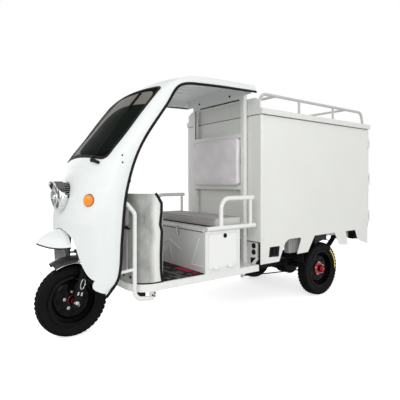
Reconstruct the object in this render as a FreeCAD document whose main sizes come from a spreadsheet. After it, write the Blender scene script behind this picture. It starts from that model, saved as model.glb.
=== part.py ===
import FreeCAD, Part
import math
import os
import re

import Sketcher

# Enclosed electric cargo tricycle, millimetres.
# +X is forward, +Y is left, +Z is up. The origin is on the floor under the middle of the vehicle.

doc = FreeCAD.newDocument("cargo_tricycle")
dim = doc.addObject("Spreadsheet::Sheet", "dim")

# Driving dimensions: alias, value, what it measures.
dimensions = [
    ("wheelRadius", 245, "outer radius of all three tyres"),
    ("tyreWidth", 100, "width of a tyre"),
    ("rimRadius", 165, "radius of the rim where the tyre seats"),
    ("rimWidth", 84, "width of the rim barrel"),
    ("hubRadius", 34, "radius of the wheel hub"),
    ("axleRadius", 14, "radius of the wheel spindles"),
    ("hubFlange", 68, "radius of the flange that the wheel nuts sit on"),
    ("runClearance", 0.06, "radial clearance of a hub on its spindle"),
    ("seatGap", 0.3, "gap left between pieces that are set against each other"),
    ("frontWheelX", 1366, "front wheel centre"),
    ("track", 840, "distance between the rear wheels' middles"),
    ("springHalf", "=track / 2 - 120", "leaf springs from the middle"),
    ("railHalf", "=springHalf", "chassis rails from the middle, over the springs"),
    ("rakeAngle", 15, "backward lean of the steering axis, degrees"),
    ("forkOffset", 22, "steering axis behind the front wheel centre"),
    ("forkSpread", 166, "distance between the fork legs' middles"),
    ("forkTube", 19, "radius of a fork leg"),
    ("crownThick", 26, "thickness of the fork crown"),
    ("crownRise", 333, "fork crown above the wheel centre, along the fork"),
    ("columnRadius", 17, "radius of the steering column"),
    ("neckRadius", 28, "outer radius of the head tube"),
    ("strutRadius", 15, "radius of the struts that carry the head tube"),
    ("neckLow", 420, "lower end of the head tube along the steering axis"),
    ("neckHigh", 640, "upper end of the head tube along the steering axis"),
    ("barRise", 840, "handlebar above the wheel centre along the steering axis"),
    ("barHalf", 310, "half length of the handlebar"),
    ("barSweep", 60, "how far the grips come back"),
    ("barRadius", 11, "radius of the handlebar tube"),
    ("gripRadius", 17, "radius of a grip"),
    ("guardRadius", 306, "crown radius of the front mudguard"),
    ("guardHalf", 60, "half width of the front mudguard"),
    ("guardStart", 61, "mudguard's front end, degrees above the wheel's front"),
    ("guardEnd", 128, "mudguard's rear end, degrees from the wheel's front"),
    ("guardSkin", 4, "thickness of the mudguards"),
    ("cabHalf", 470, "half width of the cab shell"),
    ("cabSkin", 4, "thickness of the cab shell and glass"),
    ("cabRearX", 40, "rear edge of the canopy"),
    ("cabStep", 120, "longest run between two sections of the shell"),
    ("headerHalf", 440, "half width of the panel that closes the canopy's rear"),
    ("headerLow", 1772, "lower edge of the panel that closes the canopy's rear"),
    ("archTop", 741, "top of the wheel arch in the nose"),
    ("glassFit", 0.3, "gap round the windscreen"),
    ("sealRadius", 6, "radius of the rubber edge trim"),
    ("lampRadius", 100, "outer radius of the headlamp"),
    ("lampZ", 962, "height of the headlamp"),
    ("indicatorRadius", 38, "radius of the indicator lamps"),
    ("floorTop", 393, "top of the cab floor"),
    ("floorDrop", 50, "height of the floor's folded edge"),
    ("floorHalf", 480, "half width of the cab floor"),
    ("floorFrontX", 1118, "front edge of the cab floor and leg shield"),
    ("floorCorner", 150, "plan radius of the floor's front corners"),
    ("sheet", 3, "thickness of folded sheet steel"),
    ("matThick", 5, "thickness of the floor mat"),
    ("shieldTop", 985, "top edge of the leg shield"),
    ("shieldRearX", 918, "rear edge of the leg shield's wings"),
    ("seatFrontX", 564, "front face of the seat box"),
    ("seatRearX", 225, "rear face of the seat box"),
    ("seatTop", 698, "top edge of the seat box"),
    ("lidThick", 16, "thickness of the seat lid"),
    ("lidHingeX", 143, "axis of the seat lid's hinge"),
    ("hingePin", 4, "radius of the hinge pins"),
    ("cushionThick", 79, "thickness of the seat cushion"),
    ("cushionHalf", 430, "half width of the seat cushion"),
    ("cushionFrontX", 430, "front of the seat cushion"),
    ("armHalf", "=floorHalf", "armrests from the middle, over the seat box's sides"),
    ("armTube", 17, "radius of the armrest tubes"),
    ("armTop", 937, "height of the armrests' middle"),
    ("armLegX", 416, "front legs of the armrests"),
    ("armBend", 80, "bend radius of the armrests"),
    ("hoopTube", 14, "radius of the guard hoops' tubes"),
    ("postX", 48, "middle of the partition posts"),
    ("postHalf", 335, "partition posts from the middle"),
    ("postSize", 36, "side of a partition post"),
    ("postTop", 1849.5, "top of the partition posts"),
    ("beamTop", 1740, "underside of the partition's top beam"),
    ("beamPanel", 1430, "underside of the beam over the partition's panel"),
    ("beamLow", 995, "underside of the beam under the partition's panel"),
    ("backHalf", 305, "half width of the backrest pad"),
    ("backThick", 64, "thickness of the backrest pad"),
    ("beamSeat", 720, "underside of the beam behind the seat"),
    ("boxFrontX", 18, "front face of the cargo box"),
    ("boxLength", 1590, "length of the cargo box without its doors"),
    ("rearWheelX", "=boxFrontX - boxLength * 0.5321", "rear wheel centres"),
    ("boxHalf", 500, "half width of the cargo box"),
    ("boxWall", 20, "thickness of the cargo box walls"),
    ("boxFloor", 600, "top of the cargo floor"),
    ("boxBase", 574, "underside of the cargo floor, top of the skirt's notches"),
    ("boxTop", 1653, "top of the cargo roof"),
    ("roofThick", 20, "thickness of the cargo roof"),
    ("rimDrop", 45, "height of the roof's folded rim"),
    ("rimOut", 20, "how far the roof's rim stands out"),
    ("skirtSkin", 4, "thickness of the skirt below the box"),
    ("fasciaTop", 1745, "top of the raised lip at the roof's front"),
    ("doorThick", 20, "thickness of a cargo door"),
    ("doorGap", 6, "gap round the cargo doors"),
    ("knuckle", 7, "radius of the hinge knuckles"),
    ("rackHalf", 450, "roof rails from the middle"),
    ("rackTop", 1785, "height of the roof rails' middle"),
    ("rackTube", 13, "radius of the roof rack tubes"),
    ("railWidth", 50, "width of a chassis rail"),
    ("railHeight", 60, "height of a chassis rail under the cargo box"),
    ("lowHeight", 45, "height of a chassis rail under the cab"),
    ("axleTube", 32, "radius of the rear axle tube"),
]
for row, (alias, value, note) in enumerate(dimensions, start=1):
    dim.set(f"A{row}", alias)
    dim.set(f"B{row}", str(value))
    dim.setAlias(f"B{row}", alias)
    dim.set(f"C{row}", note)
doc.recompute()


class Sizes:
    """Reads the sheet's cells as plain numbers."""

    def __getattr__(self, alias):
        return float(dim.get(alias))


size = Sizes()
aliases = {alias for alias, value, note in dimensions}
parts = []


def cell(text):
    """Writes an expression of aliases as one on the sheet."""
    swap = lambda word: "dim." + word.group(0) if word.group(0) in aliases else word.group(0)
    return re.sub(r"[A-Za-z]\w*", swap, str(text))


def bind(thing, settings):
    for prop, text in settings.items():
        thing.setExpression(prop, cell(text))


def place(thing, corner):
    bind(thing, dict(zip(("Placement.Base.x", "Placement.Base.y", "Placement.Base.z"), corner)))


def box(name, corner, extent):
    thing = doc.addObject("Part::Box", name)
    bind(thing, dict(zip(("Length", "Width", "Height"), extent)))
    place(thing, corner)
    return thing


directions = {
    "X": FreeCAD.Rotation(FreeCAD.Vector(0, 1, 0), 90),
    "Y": FreeCAD.Rotation(FreeCAD.Vector(1, 0, 0), -90),
    "Z": FreeCAD.Rotation(),
}


def outline(name, plane, points, offset="0"):
    """A closed sketch through points given as pairs of expressions, on the XY, XZ or YZ plane."""
    turns = {
        "XY": FreeCAD.Rotation(),
        "XZ": FreeCAD.Rotation(FreeCAD.Vector(1, 0, 0), 90),
        "YZ": FreeCAD.Rotation(FreeCAD.Vector(1, 1, 1), 120),
    }
    axis = {"XY": "z", "XZ": "y", "YZ": "x"}[plane]
    drawing = doc.addObject("Sketcher::SketchObject", name)
    drawing.Placement = FreeCAD.Placement(FreeCAD.Vector(), turns[plane])
    bind(drawing, {f"Placement.Base.{axis}": offset})
    draw(drawing, points)
    return drawing


def draw(drawing, points):
    """Adds a closed run of lines whose corners are held at the expressions' places."""
    numbers = [[evaluate(text) for text in point] for point in points]
    count = len(points)
    for i in range(count):
        start = FreeCAD.Vector(*numbers[i], 0)
        end = FreeCAD.Vector(*numbers[(i + 1) % count], 0)
        drawing.addGeometry(Part.LineSegment(start, end), False)
    for i in range(count):
        drawing.addConstraint(Sketcher.Constraint("Coincident", i, 2, (i + 1) % count, 1))
    for i in range(count):
        for kind, text, number in zip(("DistanceX", "DistanceY"), points[i], numbers[i]):
            index = drawing.addConstraint(Sketcher.Constraint(kind, -1, 1, i, 1, number))
            drawing.setExpression(f"Constraints[{index}]", cell(text))


def evaluate(text):
    """Works out an expression of aliases through a spare cell of the sheet."""
    dim.set("E1", "=" + str(text))
    dim.recompute()
    return float(dim.get("E1"))


def prism(name, drawing, length, direction):
    """Extrudes a sketch along X, Y or Z, half to each side of it."""
    thing = doc.addObject("Part::Extrusion", name)
    thing.Base = drawing
    thing.DirMode = "Custom"
    thing.Dir = {"X": (1, 0, 0), "Y": (0, 1, 0), "Z": (0, 0, 1)}[direction]
    thing.Solid = True
    thing.Symmetric = True
    bind(thing, {"LengthFwd": length})
    return thing


def join(name, pieces):
    thing = doc.addObject("Part::MultiFuse", name)
    thing.Shapes = pieces
    return thing


def cut(name, base, tools):
    thing = doc.addObject("Part::Cut", name)
    thing.Base = base
    thing.Tool = tools[0] if len(tools) == 1 else join(name + "_tools", tools)
    return thing


def mirrored(name, source):
    """A copy of a piece on the other side of the vehicle's middle plane."""
    thing = doc.addObject("Part::Mirroring", name)
    thing.Source = source
    thing.Normal = (0, 1, 0)
    return thing


def feature(name, shape):
    thing = doc.addObject("Part::Feature", name)
    thing.Shape = shape
    return thing


def node(label, thing):
    """Marks a finished piece."""
    thing.Label = label
    parts.append(thing)
    return thing


def vec(x, y, z):
    return FreeCAD.Vector(x, y, z)


def path(points, bend=None):
    """A wire of straight runs joined by arcs, each of the bend radius or as large as its runs allow."""
    edges = []
    start = points[0]
    for before, corner, after in zip(points, points[1:], points[2:]):
        back = before - corner
        ahead = after - corner
        half = back.getAngle(ahead) / 2
        if half > math.radians(89.8):
            continue
        room = 0.45 * min(back.Length, ahead.Length)
        trim = room if bend is None else min(room, bend / math.tan(half))
        back.normalize()
        ahead.normalize()
        radius = trim * math.tan(half)
        middle = (back + ahead).normalize()
        crest = corner + middle * (radius / math.sin(half) - radius)
        first = corner + back * trim
        last = corner + ahead * trim
        edges.append(Part.LineSegment(start, first).toShape())
        edges.append(Part.Arc(first, crest, last).toShape())
        start = last
    edges.append(Part.LineSegment(start, points[-1]).toShape())
    return Part.Wire(edges)


def tube(points, radius, bend=None):
    """A round bar bent along points."""
    spine = path(points, bend)
    ring = Part.Wire(Part.makeCircle(radius, points[0], points[1] - points[0]))
    return spine.makePipeShell([ring], True, True)


def fused(shapes):
    return shapes[0].multiFuse(shapes[1:]).removeSplitter()


def hinge(spots, along, fixedArm, movingArm, length=30.0):
    """Hinge knuckles at spots: a fixed pair with the pin, and a bored one between them for the leaf.

    The arms are vectors from the axis to what each side is fused with.
    """
    along = vec(*along)
    radius = size.knuckle
    gap = size.seatGap
    still = []
    moving = []
    for spot in spots:
        centre = vec(*spot)
        start = centre - along * (1.5 * length)
        still.append(Part.makeCylinder(size.hingePin, 3 * length, start, along))
        for shift in (0, 2 * length + gap):
            first = start + along * shift
            still.append(Part.makeCylinder(radius, length - gap, first, along))
            still.append(arm(first, along * (length - gap), vec(*fixedArm)))
        first = centre - along * (length / 2)
        barrel = Part.makeCylinder(radius, length, first, along)
        barrel = barrel.fuse(arm(first, along * length, vec(*movingArm)))
        bore = Part.makeCylinder(size.hingePin + size.runClearance, 3 * length, start, along)
        moving.append(barrel.cut(bore))
    return still, moving


def arm(start, run, reach):
    """A flat bar from a hinge axis: run is its width along the axis, reach its length away from it."""
    thick = run.cross(reach).normalize() * (size.knuckle * 0.8)
    corner = start - thick / 2
    ring = [corner, corner + run, corner + run + reach, corner + reach, corner]
    return Part.Face(Part.makePolygon(ring)).extrude(thick)


# Chassis

def chassisFrame():
    """Ladder frame: low rails under the cab, raised ones under the box, crossbars, gussets, bumper."""
    lowTop = "floorTop - sheet - seatGap"
    lowBase = f"({lowTop} - lowHeight)"
    highBase = "boxBase - railHeight"
    boxRear = "boxFrontX - boxLength"
    pieces = []
    for side, y in (("left", "railHalf - railWidth / 2"), ("right", "-railHalf - railWidth / 2")):
        pieces.append(box(f"low_rail_{side}", ("boxFrontX - railWidth", y, lowBase),
                          ("floorFrontX - boxFrontX", "railWidth", "lowHeight")))
        pieces.append(box(f"riser_{side}", ("boxFrontX - railWidth", y, lowBase),
                          ("railWidth", "railWidth", f"boxBase - {lowBase}")))
        pieces.append(box(f"high_rail_{side}", (boxRear, y, highBase),
                          ("boxLength", "railWidth", "railHeight")))
        pieces.append(box(f"bumper_stay_{side}", (boxRear, y, "boxBase - railHeight - 60"),
                          ("railWidth * 0.6", "railWidth", "61")))
    crossings = [
        ("front_cross", "floorFrontX - 2 * railWidth", lowBase, "lowHeight"),
        ("seat_cross", "seatRearX", lowBase, "lowHeight"),
        ("middle_cross", "boxFrontX - railWidth", lowBase, "lowHeight"),
        ("spring_cross_front", "rearWheelX + 420", highBase, "railHeight"),
        ("spring_cross_rear", "rearWheelX - 470", highBase, "railHeight"),
        ("tail_cross", boxRear, highBase, "railHeight"),
    ]
    for name, x, z, tall in crossings:
        pieces.append(box(name, (x, "-railHalf", z), ("railWidth", "2 * railHalf", tall)))
    pieces.append(box("bumper", (boxRear, "-boxHalf + 60", "boxBase - railHeight - 60"),
                      ("railWidth * 0.6", "2 * boxHalf - 120", "60")))
    pieces.append(box("rod_hanger", ("0", "255", "248"), ("10", "30", f"{lowBase} - 247")))
    gusset = outline("gusset_outline", "YZ", [
        ("railHalf", "boxBase - 7"), ("boxHalf - 45", "boxBase - 7"), ("boxHalf - 45", "437"),
        ("345", "301"), ("railHalf", "301"),
    ], "-4")
    hole = outline("gusset_hole_outline", "YZ", [
        ("360", "370"), ("430", "440"), ("358", "432"),
    ], "-4")
    openings = [prism("gusset_hole", hole, "20", "X")]
    for z in (482, 534):
        port = Part.makeCylinder(20, 20, vec(-10, 403, z), vec(1, 0, 0))
        openings.append(feature(f"gusset_port_{z}", port))
    plate = cut("gusset", prism("gusset_plate", gusset, "6", "X"), openings)
    pieces += [plate, mirrored("gusset_mirror", plate)]
    node("chassis_frame", join("chassis_frame", pieces))


def steeringPoint(along, out=0.0, y=0.0):
    """A point on the fork's slope: along it from the wheel centre's level, and out ahead of the axis."""
    lean = math.radians(size.rakeAngle)
    base = vec(size.frontWheelX, y, size.wheelRadius)
    up = vec(-math.sin(lean), 0, math.cos(lean))
    ahead = vec(math.cos(lean), 0, math.sin(lean))
    return base + ahead * (out - size.forkOffset) + up * along


def neckStruts(radius):
    """Two bent tubes from the frame's front beam, up the leg shield's front, to the head tube."""
    beamZ = size.floorTop - size.sheet - size.seatGap - size.lowHeight / 2
    x = size.floorFrontX + 22
    struts = []
    for side in (1, -1):
        points = [
            vec(size.floorFrontX - 40, side * 150, beamZ), vec(x, side * 150, beamZ), vec(x, side * 150, 650),
            steeringPoint((size.neckLow + size.neckHigh) / 2, 0, side * 18),
        ]
        struts.append(tube(points, radius, 30))
    return struts


def headTube():
    """Steering neck: the head tube and the two struts that carry it on the frame's front cross."""
    low = steeringPoint(size.neckLow)
    high = steeringPoint(size.neckHigh)
    axis = high - low
    sleeve = Part.makeCylinder(size.neckRadius, axis.Length, low, axis)
    bore = Part.makeCylinder(size.columnRadius + size.runClearance, axis.Length, low, axis)
    start = size.floorFrontX - size.railWidth + size.seatGap
    beam = Part.makeBox(40, 340, size.lowHeight,
                        vec(start, -170, size.floorTop - size.sheet - size.seatGap - size.lowHeight))
    whole = fused([sleeve, beam] + neckStruts(size.strutRadius)).cut(bore)
    node("head_tube", feature("head_tube", whole))


def floorPlan(name, inset, rear, z):
    """A U-shaped plan with rounded front corners, as a face at height z."""
    half = size.floorHalf - inset
    front = size.floorFrontX - inset
    corner = size.floorCorner - inset
    turn = corner * (1 - math.sqrt(0.5))
    left = Part.LineSegment(vec(rear, half, z), vec(front - corner, half, z))
    arcLeft = Part.Arc(vec(front - corner, half, z), vec(front - turn, half - turn, z),
                       vec(front, half - corner, z))
    nose = Part.LineSegment(vec(front, half - corner, z), vec(front, corner - half, z))
    arcRight = Part.Arc(vec(front, corner - half, z), vec(front - turn, turn - half, z),
                        vec(front - corner, -half, z))
    right = Part.LineSegment(vec(front - corner, -half, z), vec(rear, -half, z))
    back = Part.LineSegment(vec(rear, -half, z), vec(rear, half, z))
    run = [left, arcLeft, nose, arcRight, right, back]
    return Part.Face(Part.Wire([edge.toShape() for edge in run]))


def cabFloor():
    """Pressed floor pan with folded edges, and its mat."""
    rear = size.boxFrontX + size.seatGap
    top = size.floorTop
    pan = floorPlan("pan", 0, rear, top - size.floorDrop).extrude(vec(0, 0, size.floorDrop))
    under = floorPlan("under", size.sheet, rear - 1, top - size.floorDrop - 1)
    pan = pan.cut(under.extrude(vec(0, 0, size.floorDrop + 1 - size.sheet)))
    for strut in neckStruts(size.strutRadius + size.seatGap):
        pan = pan.cut(strut)
    node("floor_pan", feature("floor_pan", pan))
    mat = floorPlan("mat", size.sheet + 12, size.seatFrontX + size.seatGap, top + size.seatGap)
    node("floor_mat", feature("floor_mat", mat.extrude(vec(0, 0, size.matThick))))


def legShield():
    """Sheet that wraps round the rider's feet, open to the rear, with a rolled top edge."""
    base = size.floorTop + size.seatGap
    rise = size.shieldTop - base
    skin = size.sheet * 1.5
    outer = floorPlan("outer", skin, size.shieldRearX, base).extrude(vec(0, 0, rise))
    inner = floorPlan("inner", 2 * skin, size.shieldRearX - 1, base - 1).extrude(vec(0, 0, rise + 2))
    corner = [vec(size.shieldRearX - 1, -size.boxHalf, size.shieldTop - 60),
              vec(size.shieldRearX + 45, -size.boxHalf, size.shieldTop + 1),
              vec(size.shieldRearX - 1, -size.boxHalf, size.shieldTop + 1)]
    lines = [Part.LineSegment(a, b).toShape() for a, b in zip(corner, corner[1:] + corner[:1])]
    wedge = Part.Face(Part.Wire(lines)).extrude(vec(0, 2 * size.boxHalf, 0))
    whole = outer.cut(inner).cut(wedge)
    node("leg_shield", feature("leg_shield", whole))


# Cab shell

def cabSections():
    """Sections from the nose's foot to the canopy's rear, smoothed between the rows of a table."""
    # Front or top point x and z, inner point x and z, radius of the bulge, radius of the corner.
    table = [
        (1430, 350, 1170, 350, 1100, 130),
        (1447, 800, 1160, 780, 1100, 130),
        (1418, 990, 1130, 985, 1100, 125),
        (1330, 1212, 1070, 1190, 1200, 115),
        (1178, 1408, 990, 1310, 1500, 100),
        (1000, 1625, 880, 1490, 2000, 85),
        (838, 1782, 780, 1640, 2800, 70),
        (640, 1848, 640, 1700, 3500, 55),
        (size.cabRearX, 1870, size.cabRearX, 1720, 4000, 50),
    ]
    sections = []
    for row in smoothed(table, size.cabStep):
        front = vec(row[0], 0, row[1])
        inner = vec(row[2], 0, row[3])
        sections.append((front, inner, row[4], row[5]))
    return sections


def smoothed(table, step):
    """Rows along a cubic through the table's rows, no further apart than step at the first two columns."""
    marks = [0.0]
    for before, after in zip(table, table[1:]):
        marks.append(marks[-1] + math.dist(before[:2], after[:2]))
    last = len(table) - 1
    slopes = []
    for i in range(len(table)):
        low = max(i - 1, 0)
        high = min(i + 1, last)
        run = marks[high] - marks[low]
        slopes.append([(b - a) / run for a, b in zip(table[low], table[high])])
    rows = [table[0]]
    for i in range(last):
        run = marks[i + 1] - marks[i]
        count = max(1, math.ceil(run / step))
        for k in range(1, count + 1):
            t = k / count
            startShare = 2 * t ** 3 - 3 * t ** 2 + 1
            startPull = (t ** 3 - 2 * t ** 2 + t) * run
            endShare = 3 * t ** 2 - 2 * t ** 3
            endPull = (t ** 3 - t ** 2) * run
            rows.append([
                startShare * a + startPull * ma + endShare * b + endPull * mb
                for a, ma, b, mb in zip(table[i], slopes[i], table[i + 1], slopes[i + 1])
            ])
    return rows


def channelWire(front, inner, bulge, corner, skin):
    """Closed C-shaped wire: two straight flanks, two corner arcs and a bulging front, of one thickness."""
    ahead = front - inner
    depth = ahead.Length
    ahead.normalize()

    def at(across, deep):
        return inner + vec(0, across, 0) + ahead * deep

    def side(inset):
        half = size.cabHalf - inset
        deep = depth - inset
        big = bulge - inset
        small = corner - inset
        rise = math.sqrt((big - small) ** 2 - (half - small) ** 2)
        centre = (half - small, deep - big + rise)
        reach = big / (big - small)
        touch = (centre[0] * reach, deep - big + rise * reach)
        turn = math.atan2(rise, half - small) / 2
        crest = (centre[0] + small * math.cos(turn), centre[1] + small * math.sin(turn))
        return half, deep, centre[1], touch, crest

    def run(inset, sign):
        half, deep, low, touch, crest = side(inset)
        s = sign
        return [
            Part.LineSegment(at(s * half, 0), at(s * half, low)),
            Part.Arc(at(s * half, low), at(s * crest[0], crest[1]), at(s * touch[0], touch[1])),
            Part.Arc(at(s * touch[0], touch[1]), at(0, deep), at(-s * touch[0], touch[1])),
            Part.Arc(at(-s * touch[0], touch[1]), at(-s * crest[0], crest[1]), at(-s * half, low)),
            Part.LineSegment(at(-s * half, low), at(-s * half, 0)),
        ]

    half = size.cabHalf
    thin = half - skin
    edges = run(0, 1)
    edges.append(Part.LineSegment(at(-half, 0), at(-thin, 0)))
    edges += run(skin, -1)
    edges.append(Part.LineSegment(at(thin, 0), at(half, 0)))
    return Part.Wire([edge.toShape() for edge in edges])


def doorwayPoints(back=0.0):
    """The flank's rear edge from the foot of the nose to the canopy's rear, moved back by a distance."""
    table = [
        (1318, 366), (1240, 468), (1219, 700), (1185, 1010), (1092, 1285),
        (884, 1592), (775, 1737), (560, 1770), (size.cabRearX, 1791),
    ]
    points = [vec(x, 0, z) for x, z in smoothed(table, size.cabStep / 2)]
    if not back:
        return points
    moved = []
    for i, point in enumerate(points):
        before = points[max(i - 1, 0)]
        after = points[min(i + 1, len(points) - 1)]
        along = (after - before).normalize()
        moved.append(point + vec(-along.z, 0, along.x) * back)
    return moved


def wheelArch():
    """Opening of the nose over the front wheel, seen from the front, with a rounded lobe at each foot."""
    foot = [(475, 373), (446, 377), (426, 384), (402, 392), (380, 408), (382, 430), (402, 454)]
    sweep = [(402, 454), (349, 471), (314, 503), (278, 550), (252, 600), (224, 654), (194, 690), (145, 718),
             (77, 736), (0, size.archTop)]
    sweep += [(-y, z) for y, z in reversed(sweep[:-1])]
    edges = []
    for run in (foot, sweep, [(-y, z) for y, z in reversed(foot)]):
        curve = Part.BSplineCurve()
        curve.interpolate([vec(1100, y, z) for y, z in run])
        edges.append(curve.toShape())
    start = vec(1100, 475, 373)
    corners = [vec(1100, -475, 373), vec(1100, -475, 330), vec(1100, 475, 330), start]
    edges += [Part.LineSegment(a, b).toShape() for a, b in zip(corners, corners[1:])]
    return Part.Face(Part.Wire(edges)).extrude(vec(500, 0, 0))


def cabRoom(inset):
    """The room inside the shell, reaching into its skin by what inset leaves of it."""
    rings = [coreWire(front, inner, bulge, corner, inset) for front, inner, bulge, corner in cabSections()]
    return Part.makeLoft(rings, True, True)


def cabShell():
    """One moulded shell: nose, windscreen surround and canopy, with the glass cut from the same surface."""
    wires = [channelWire(f, e, bulge, corner, size.cabSkin) for f, e, bulge, corner in cabSections()]
    shell = Part.makeLoft(wires, True, True)
    reach = size.cabHalf + 50

    edge = doorwayPoints()
    run = path([vec(p.x, -reach, p.z) for p in edge])
    last = vec(edge[-1].x, -reach, edge[-1].z)
    first = vec(edge[0].x, -reach, edge[0].z)
    away = [last, last + vec(-100, 0, 0), vec(last.x - 100, -reach, 300), vec(first.x, -reach, 300), first]
    closing = [Part.LineSegment(a, b).toShape() for a, b in zip(away, away[1:])]
    doorway = Part.Face(Part.Wire(run.Edges + closing)).extrude(vec(0, 2 * reach, 0))

    arch = wheelArch()
    lampHole = Part.makeCylinder(size.lampRadius + size.seatGap, 300, vec(1300, 0, size.lampZ), vec(1, 0, 0))
    glass = shell.common(windscreenPrism(size.glassFit))
    shell = shell.cut(doorway).cut(arch).cut(lampHole).cut(windscreenPrism(0))
    for side in (1, -1):
        shell = shell.cut(indicator(side, size.seatGap, 40))
    front = size.postX + size.postSize / 2 + size.seatGap
    corner = vec(front, -size.headerHalf, size.headerLow)
    header = Part.makeBox(size.cabSkin, 2 * size.headerHalf, 140, corner)
    shell = fused([shell, header.common(cabRoom(size.cabSkin / 2))])
    node("cab_shell", feature("cab_shell", shell))
    node("windscreen", feature("windscreen", glass))

    seals = []
    for y in (size.cabHalf - size.cabSkin / 2, size.cabSkin / 2 - size.cabHalf):
        shifted = [vec(p.x, y, p.z) for p in doorwayPoints(size.sealRadius + size.seatGap)]
        seals.append(tube(shifted, size.sealRadius))
    node("cab_seal", feature("cab_seal", Part.makeCompound(seals)))


def windscreenPrism(inset):
    """Rounded trapezoid across the windscreen's slope, as a prism through the shell."""
    base = vec(1330, 0, 1212)
    up = vec(-0.642, 0, 0.767)
    out = vec(0.767, 0, 0.642)
    low = 24 + inset
    high = 697 - inset
    lowHalf = 372 - inset
    highHalf = 392 - inset
    corner = 70
    start = base - out * 160

    def at(y, rise):
        return start + vec(0, y, 0) + up * rise

    corners = [(0, low), (lowHalf, low), (highHalf, high), (-highHalf, high), (-lowHalf, low), (0, low)]
    ring = [at(y, rise) for y, rise in corners]
    return Part.Face(path(ring, corner)).extrude(out * 300)


def indicator(side, fit=0.0, extra=0.0):
    """A round lamp on the nose's corner, as a stub through the shell with a domed front."""
    out = vec(0.62, side * 0.78, 0).normalize()
    radius = size.indicatorRadius + fit
    centre = vec(1372, side * 340, 945)
    body = Part.makeCylinder(radius, 34 + extra, centre - out * 14, out)
    if extra:
        return body
    dome = Part.makeCone(radius, radius * 0.72, 10, centre + out * 20, out)
    return fused([body, dome])


def frontDetails():
    """Headlamp, indicators and the beak over the front wheel."""
    z = size.lampZ
    radius = size.lampRadius
    face = 1482
    profile = [
        (face - 110, 0), (face - 110, radius * 0.6), (face - 82, radius * 0.92), (face - 42, radius),
        (face - 20, radius), (face - 16, radius * 0.92), (face - 12, radius * 0.84), (face - 4, radius * 0.5),
        (face, 0),
    ]
    points = [vec(x, 0, z + r) for x, r in profile]
    edges = [Part.LineSegment(a, b).toShape() for a, b in zip(points, points[1:] + points[:1])]
    lamp = Part.Face(Part.Wire(edges)).revolve(vec(0, 0, z), vec(1, 0, 0), 360)
    start = face - 42
    hood = Part.makeCylinder(radius + 6, 68, vec(start, 0, z), vec(1, 0, 0))
    hood = hood.cut(Part.makeCylinder(radius - 2, 70, vec(start - 1, 0, z), vec(1, 0, 0)))
    rim = radius + 8
    side = [(start, 30), (face - 16, 30), (start + 66, radius - 18), (start + 66, rim), (start, rim)]
    points = [vec(x, -radius - 8, z + rise) for x, rise in side]
    edges = [Part.LineSegment(a, b).toShape() for a, b in zip(points, points[1:] + points[:1])]
    visor = hood.common(Part.Face(Part.Wire(edges)).extrude(vec(0, 2 * radius + 16, 0)))
    node("headlamp", feature("headlamp", fused([lamp, visor])))

    lamps = [indicator(side) for side in (1, -1)]
    node("indicators", feature("indicators", Part.makeCompound(lamps)))

    def beakSection(x, half, top, low):
        crown = Part.Arc(vec(x, half, low + 6), vec(x, 0, top), vec(x, -half, low + 6)).toShape()
        walls = [vec(x, -half, low + 6), vec(x, -half, low), vec(x, half, low), vec(x, half, low + 6)]
        lines = [Part.LineSegment(a, b).toShape() for a, b in zip(walls, walls[1:])]
        return Part.Wire([crown] + lines)

    table = [(1428, 172, 740.7, 632), (1490, 140, 735, 628), (1545, 92, 712, 634), (1594, 22, 668, 650)]
    skin = 5
    whole = Part.makeLoft([beakSection(*row) for row in table], True, False)
    inner = Part.makeLoft([beakSection(x - skin, half - skin, top - skin, low - skin)
                           for x, half, top, low in table], True, False)
    node("beak", feature("beak", whole.cut(inner)))


# Wheels

def wheel(name, x, y, hubOut):
    """A pressed steel disc wheel with its tyre; hubOut is the side that the hub's cap is on."""
    width = size.tyreWidth / 2
    rim = size.rimRadius
    barrel = size.rimWidth / 2
    bore = size.axleRadius + size.runClearance
    hub = size.hubRadius
    flange = size.hubFlange
    s = hubOut
    skin = 4
    profile = [
        (bore, -46), (hub, -46), (hub, -4), (rim - 50, -4), (rim - 30, -14), (rim - 12, -14),
        (rim - 12, -barrel), (rim + 6, -barrel), (rim + 6, -barrel + skin), (rim - skin, -barrel + skin + 4),
        (rim - skin, barrel - skin - 4), (rim + 6, barrel - skin), (rim + 6, barrel), (rim - 12, barrel),
        (rim - 12, -2), (rim - 30, -2), (rim - 50, 8), (flange, 8), (flange, 15), (hub, 18), (hub, 46),
        (bore, 46),
    ]
    drawing = [vec(x, y + s * across, size.wheelRadius + out) for out, across in profile]
    edges = [Part.LineSegment(a, b).toShape() for a, b in zip(drawing, drawing[1:] + drawing[:1])]
    centre = vec(x, y, size.wheelRadius)
    disc = Part.Face(Part.Wire(edges)).revolve(centre, vec(0, 1, 0), 360)
    node(f"{name}_rim", feature(f"{name}_rim", disc))

    fit = size.seatGap
    outer = size.wheelRadius
    tread = width - 12
    bead = barrel - skin - fit
    groove = rim - skin + fit
    points = [
        (groove, bead - 5), (rim + 8, bead - 1), (rim + 8, barrel), (rim + 30, width), (outer - 28, width),
        (outer - 8, tread + 2), (outer, tread - 20),
    ]
    loop = points + [(r, -w) for r, w in reversed(points)]
    ring = [vec(x, y + w, size.wheelRadius + r) for r, w in loop]
    edges = [Part.LineSegment(a, b).toShape() for a, b in zip(ring, ring[1:] + ring[:1])]
    tyre = Part.Face(Part.Wire(edges)).revolve(centre, vec(0, 1, 0), 360)
    node(f"{name}_tyre", feature(f"{name}_tyre", tyre))


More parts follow.
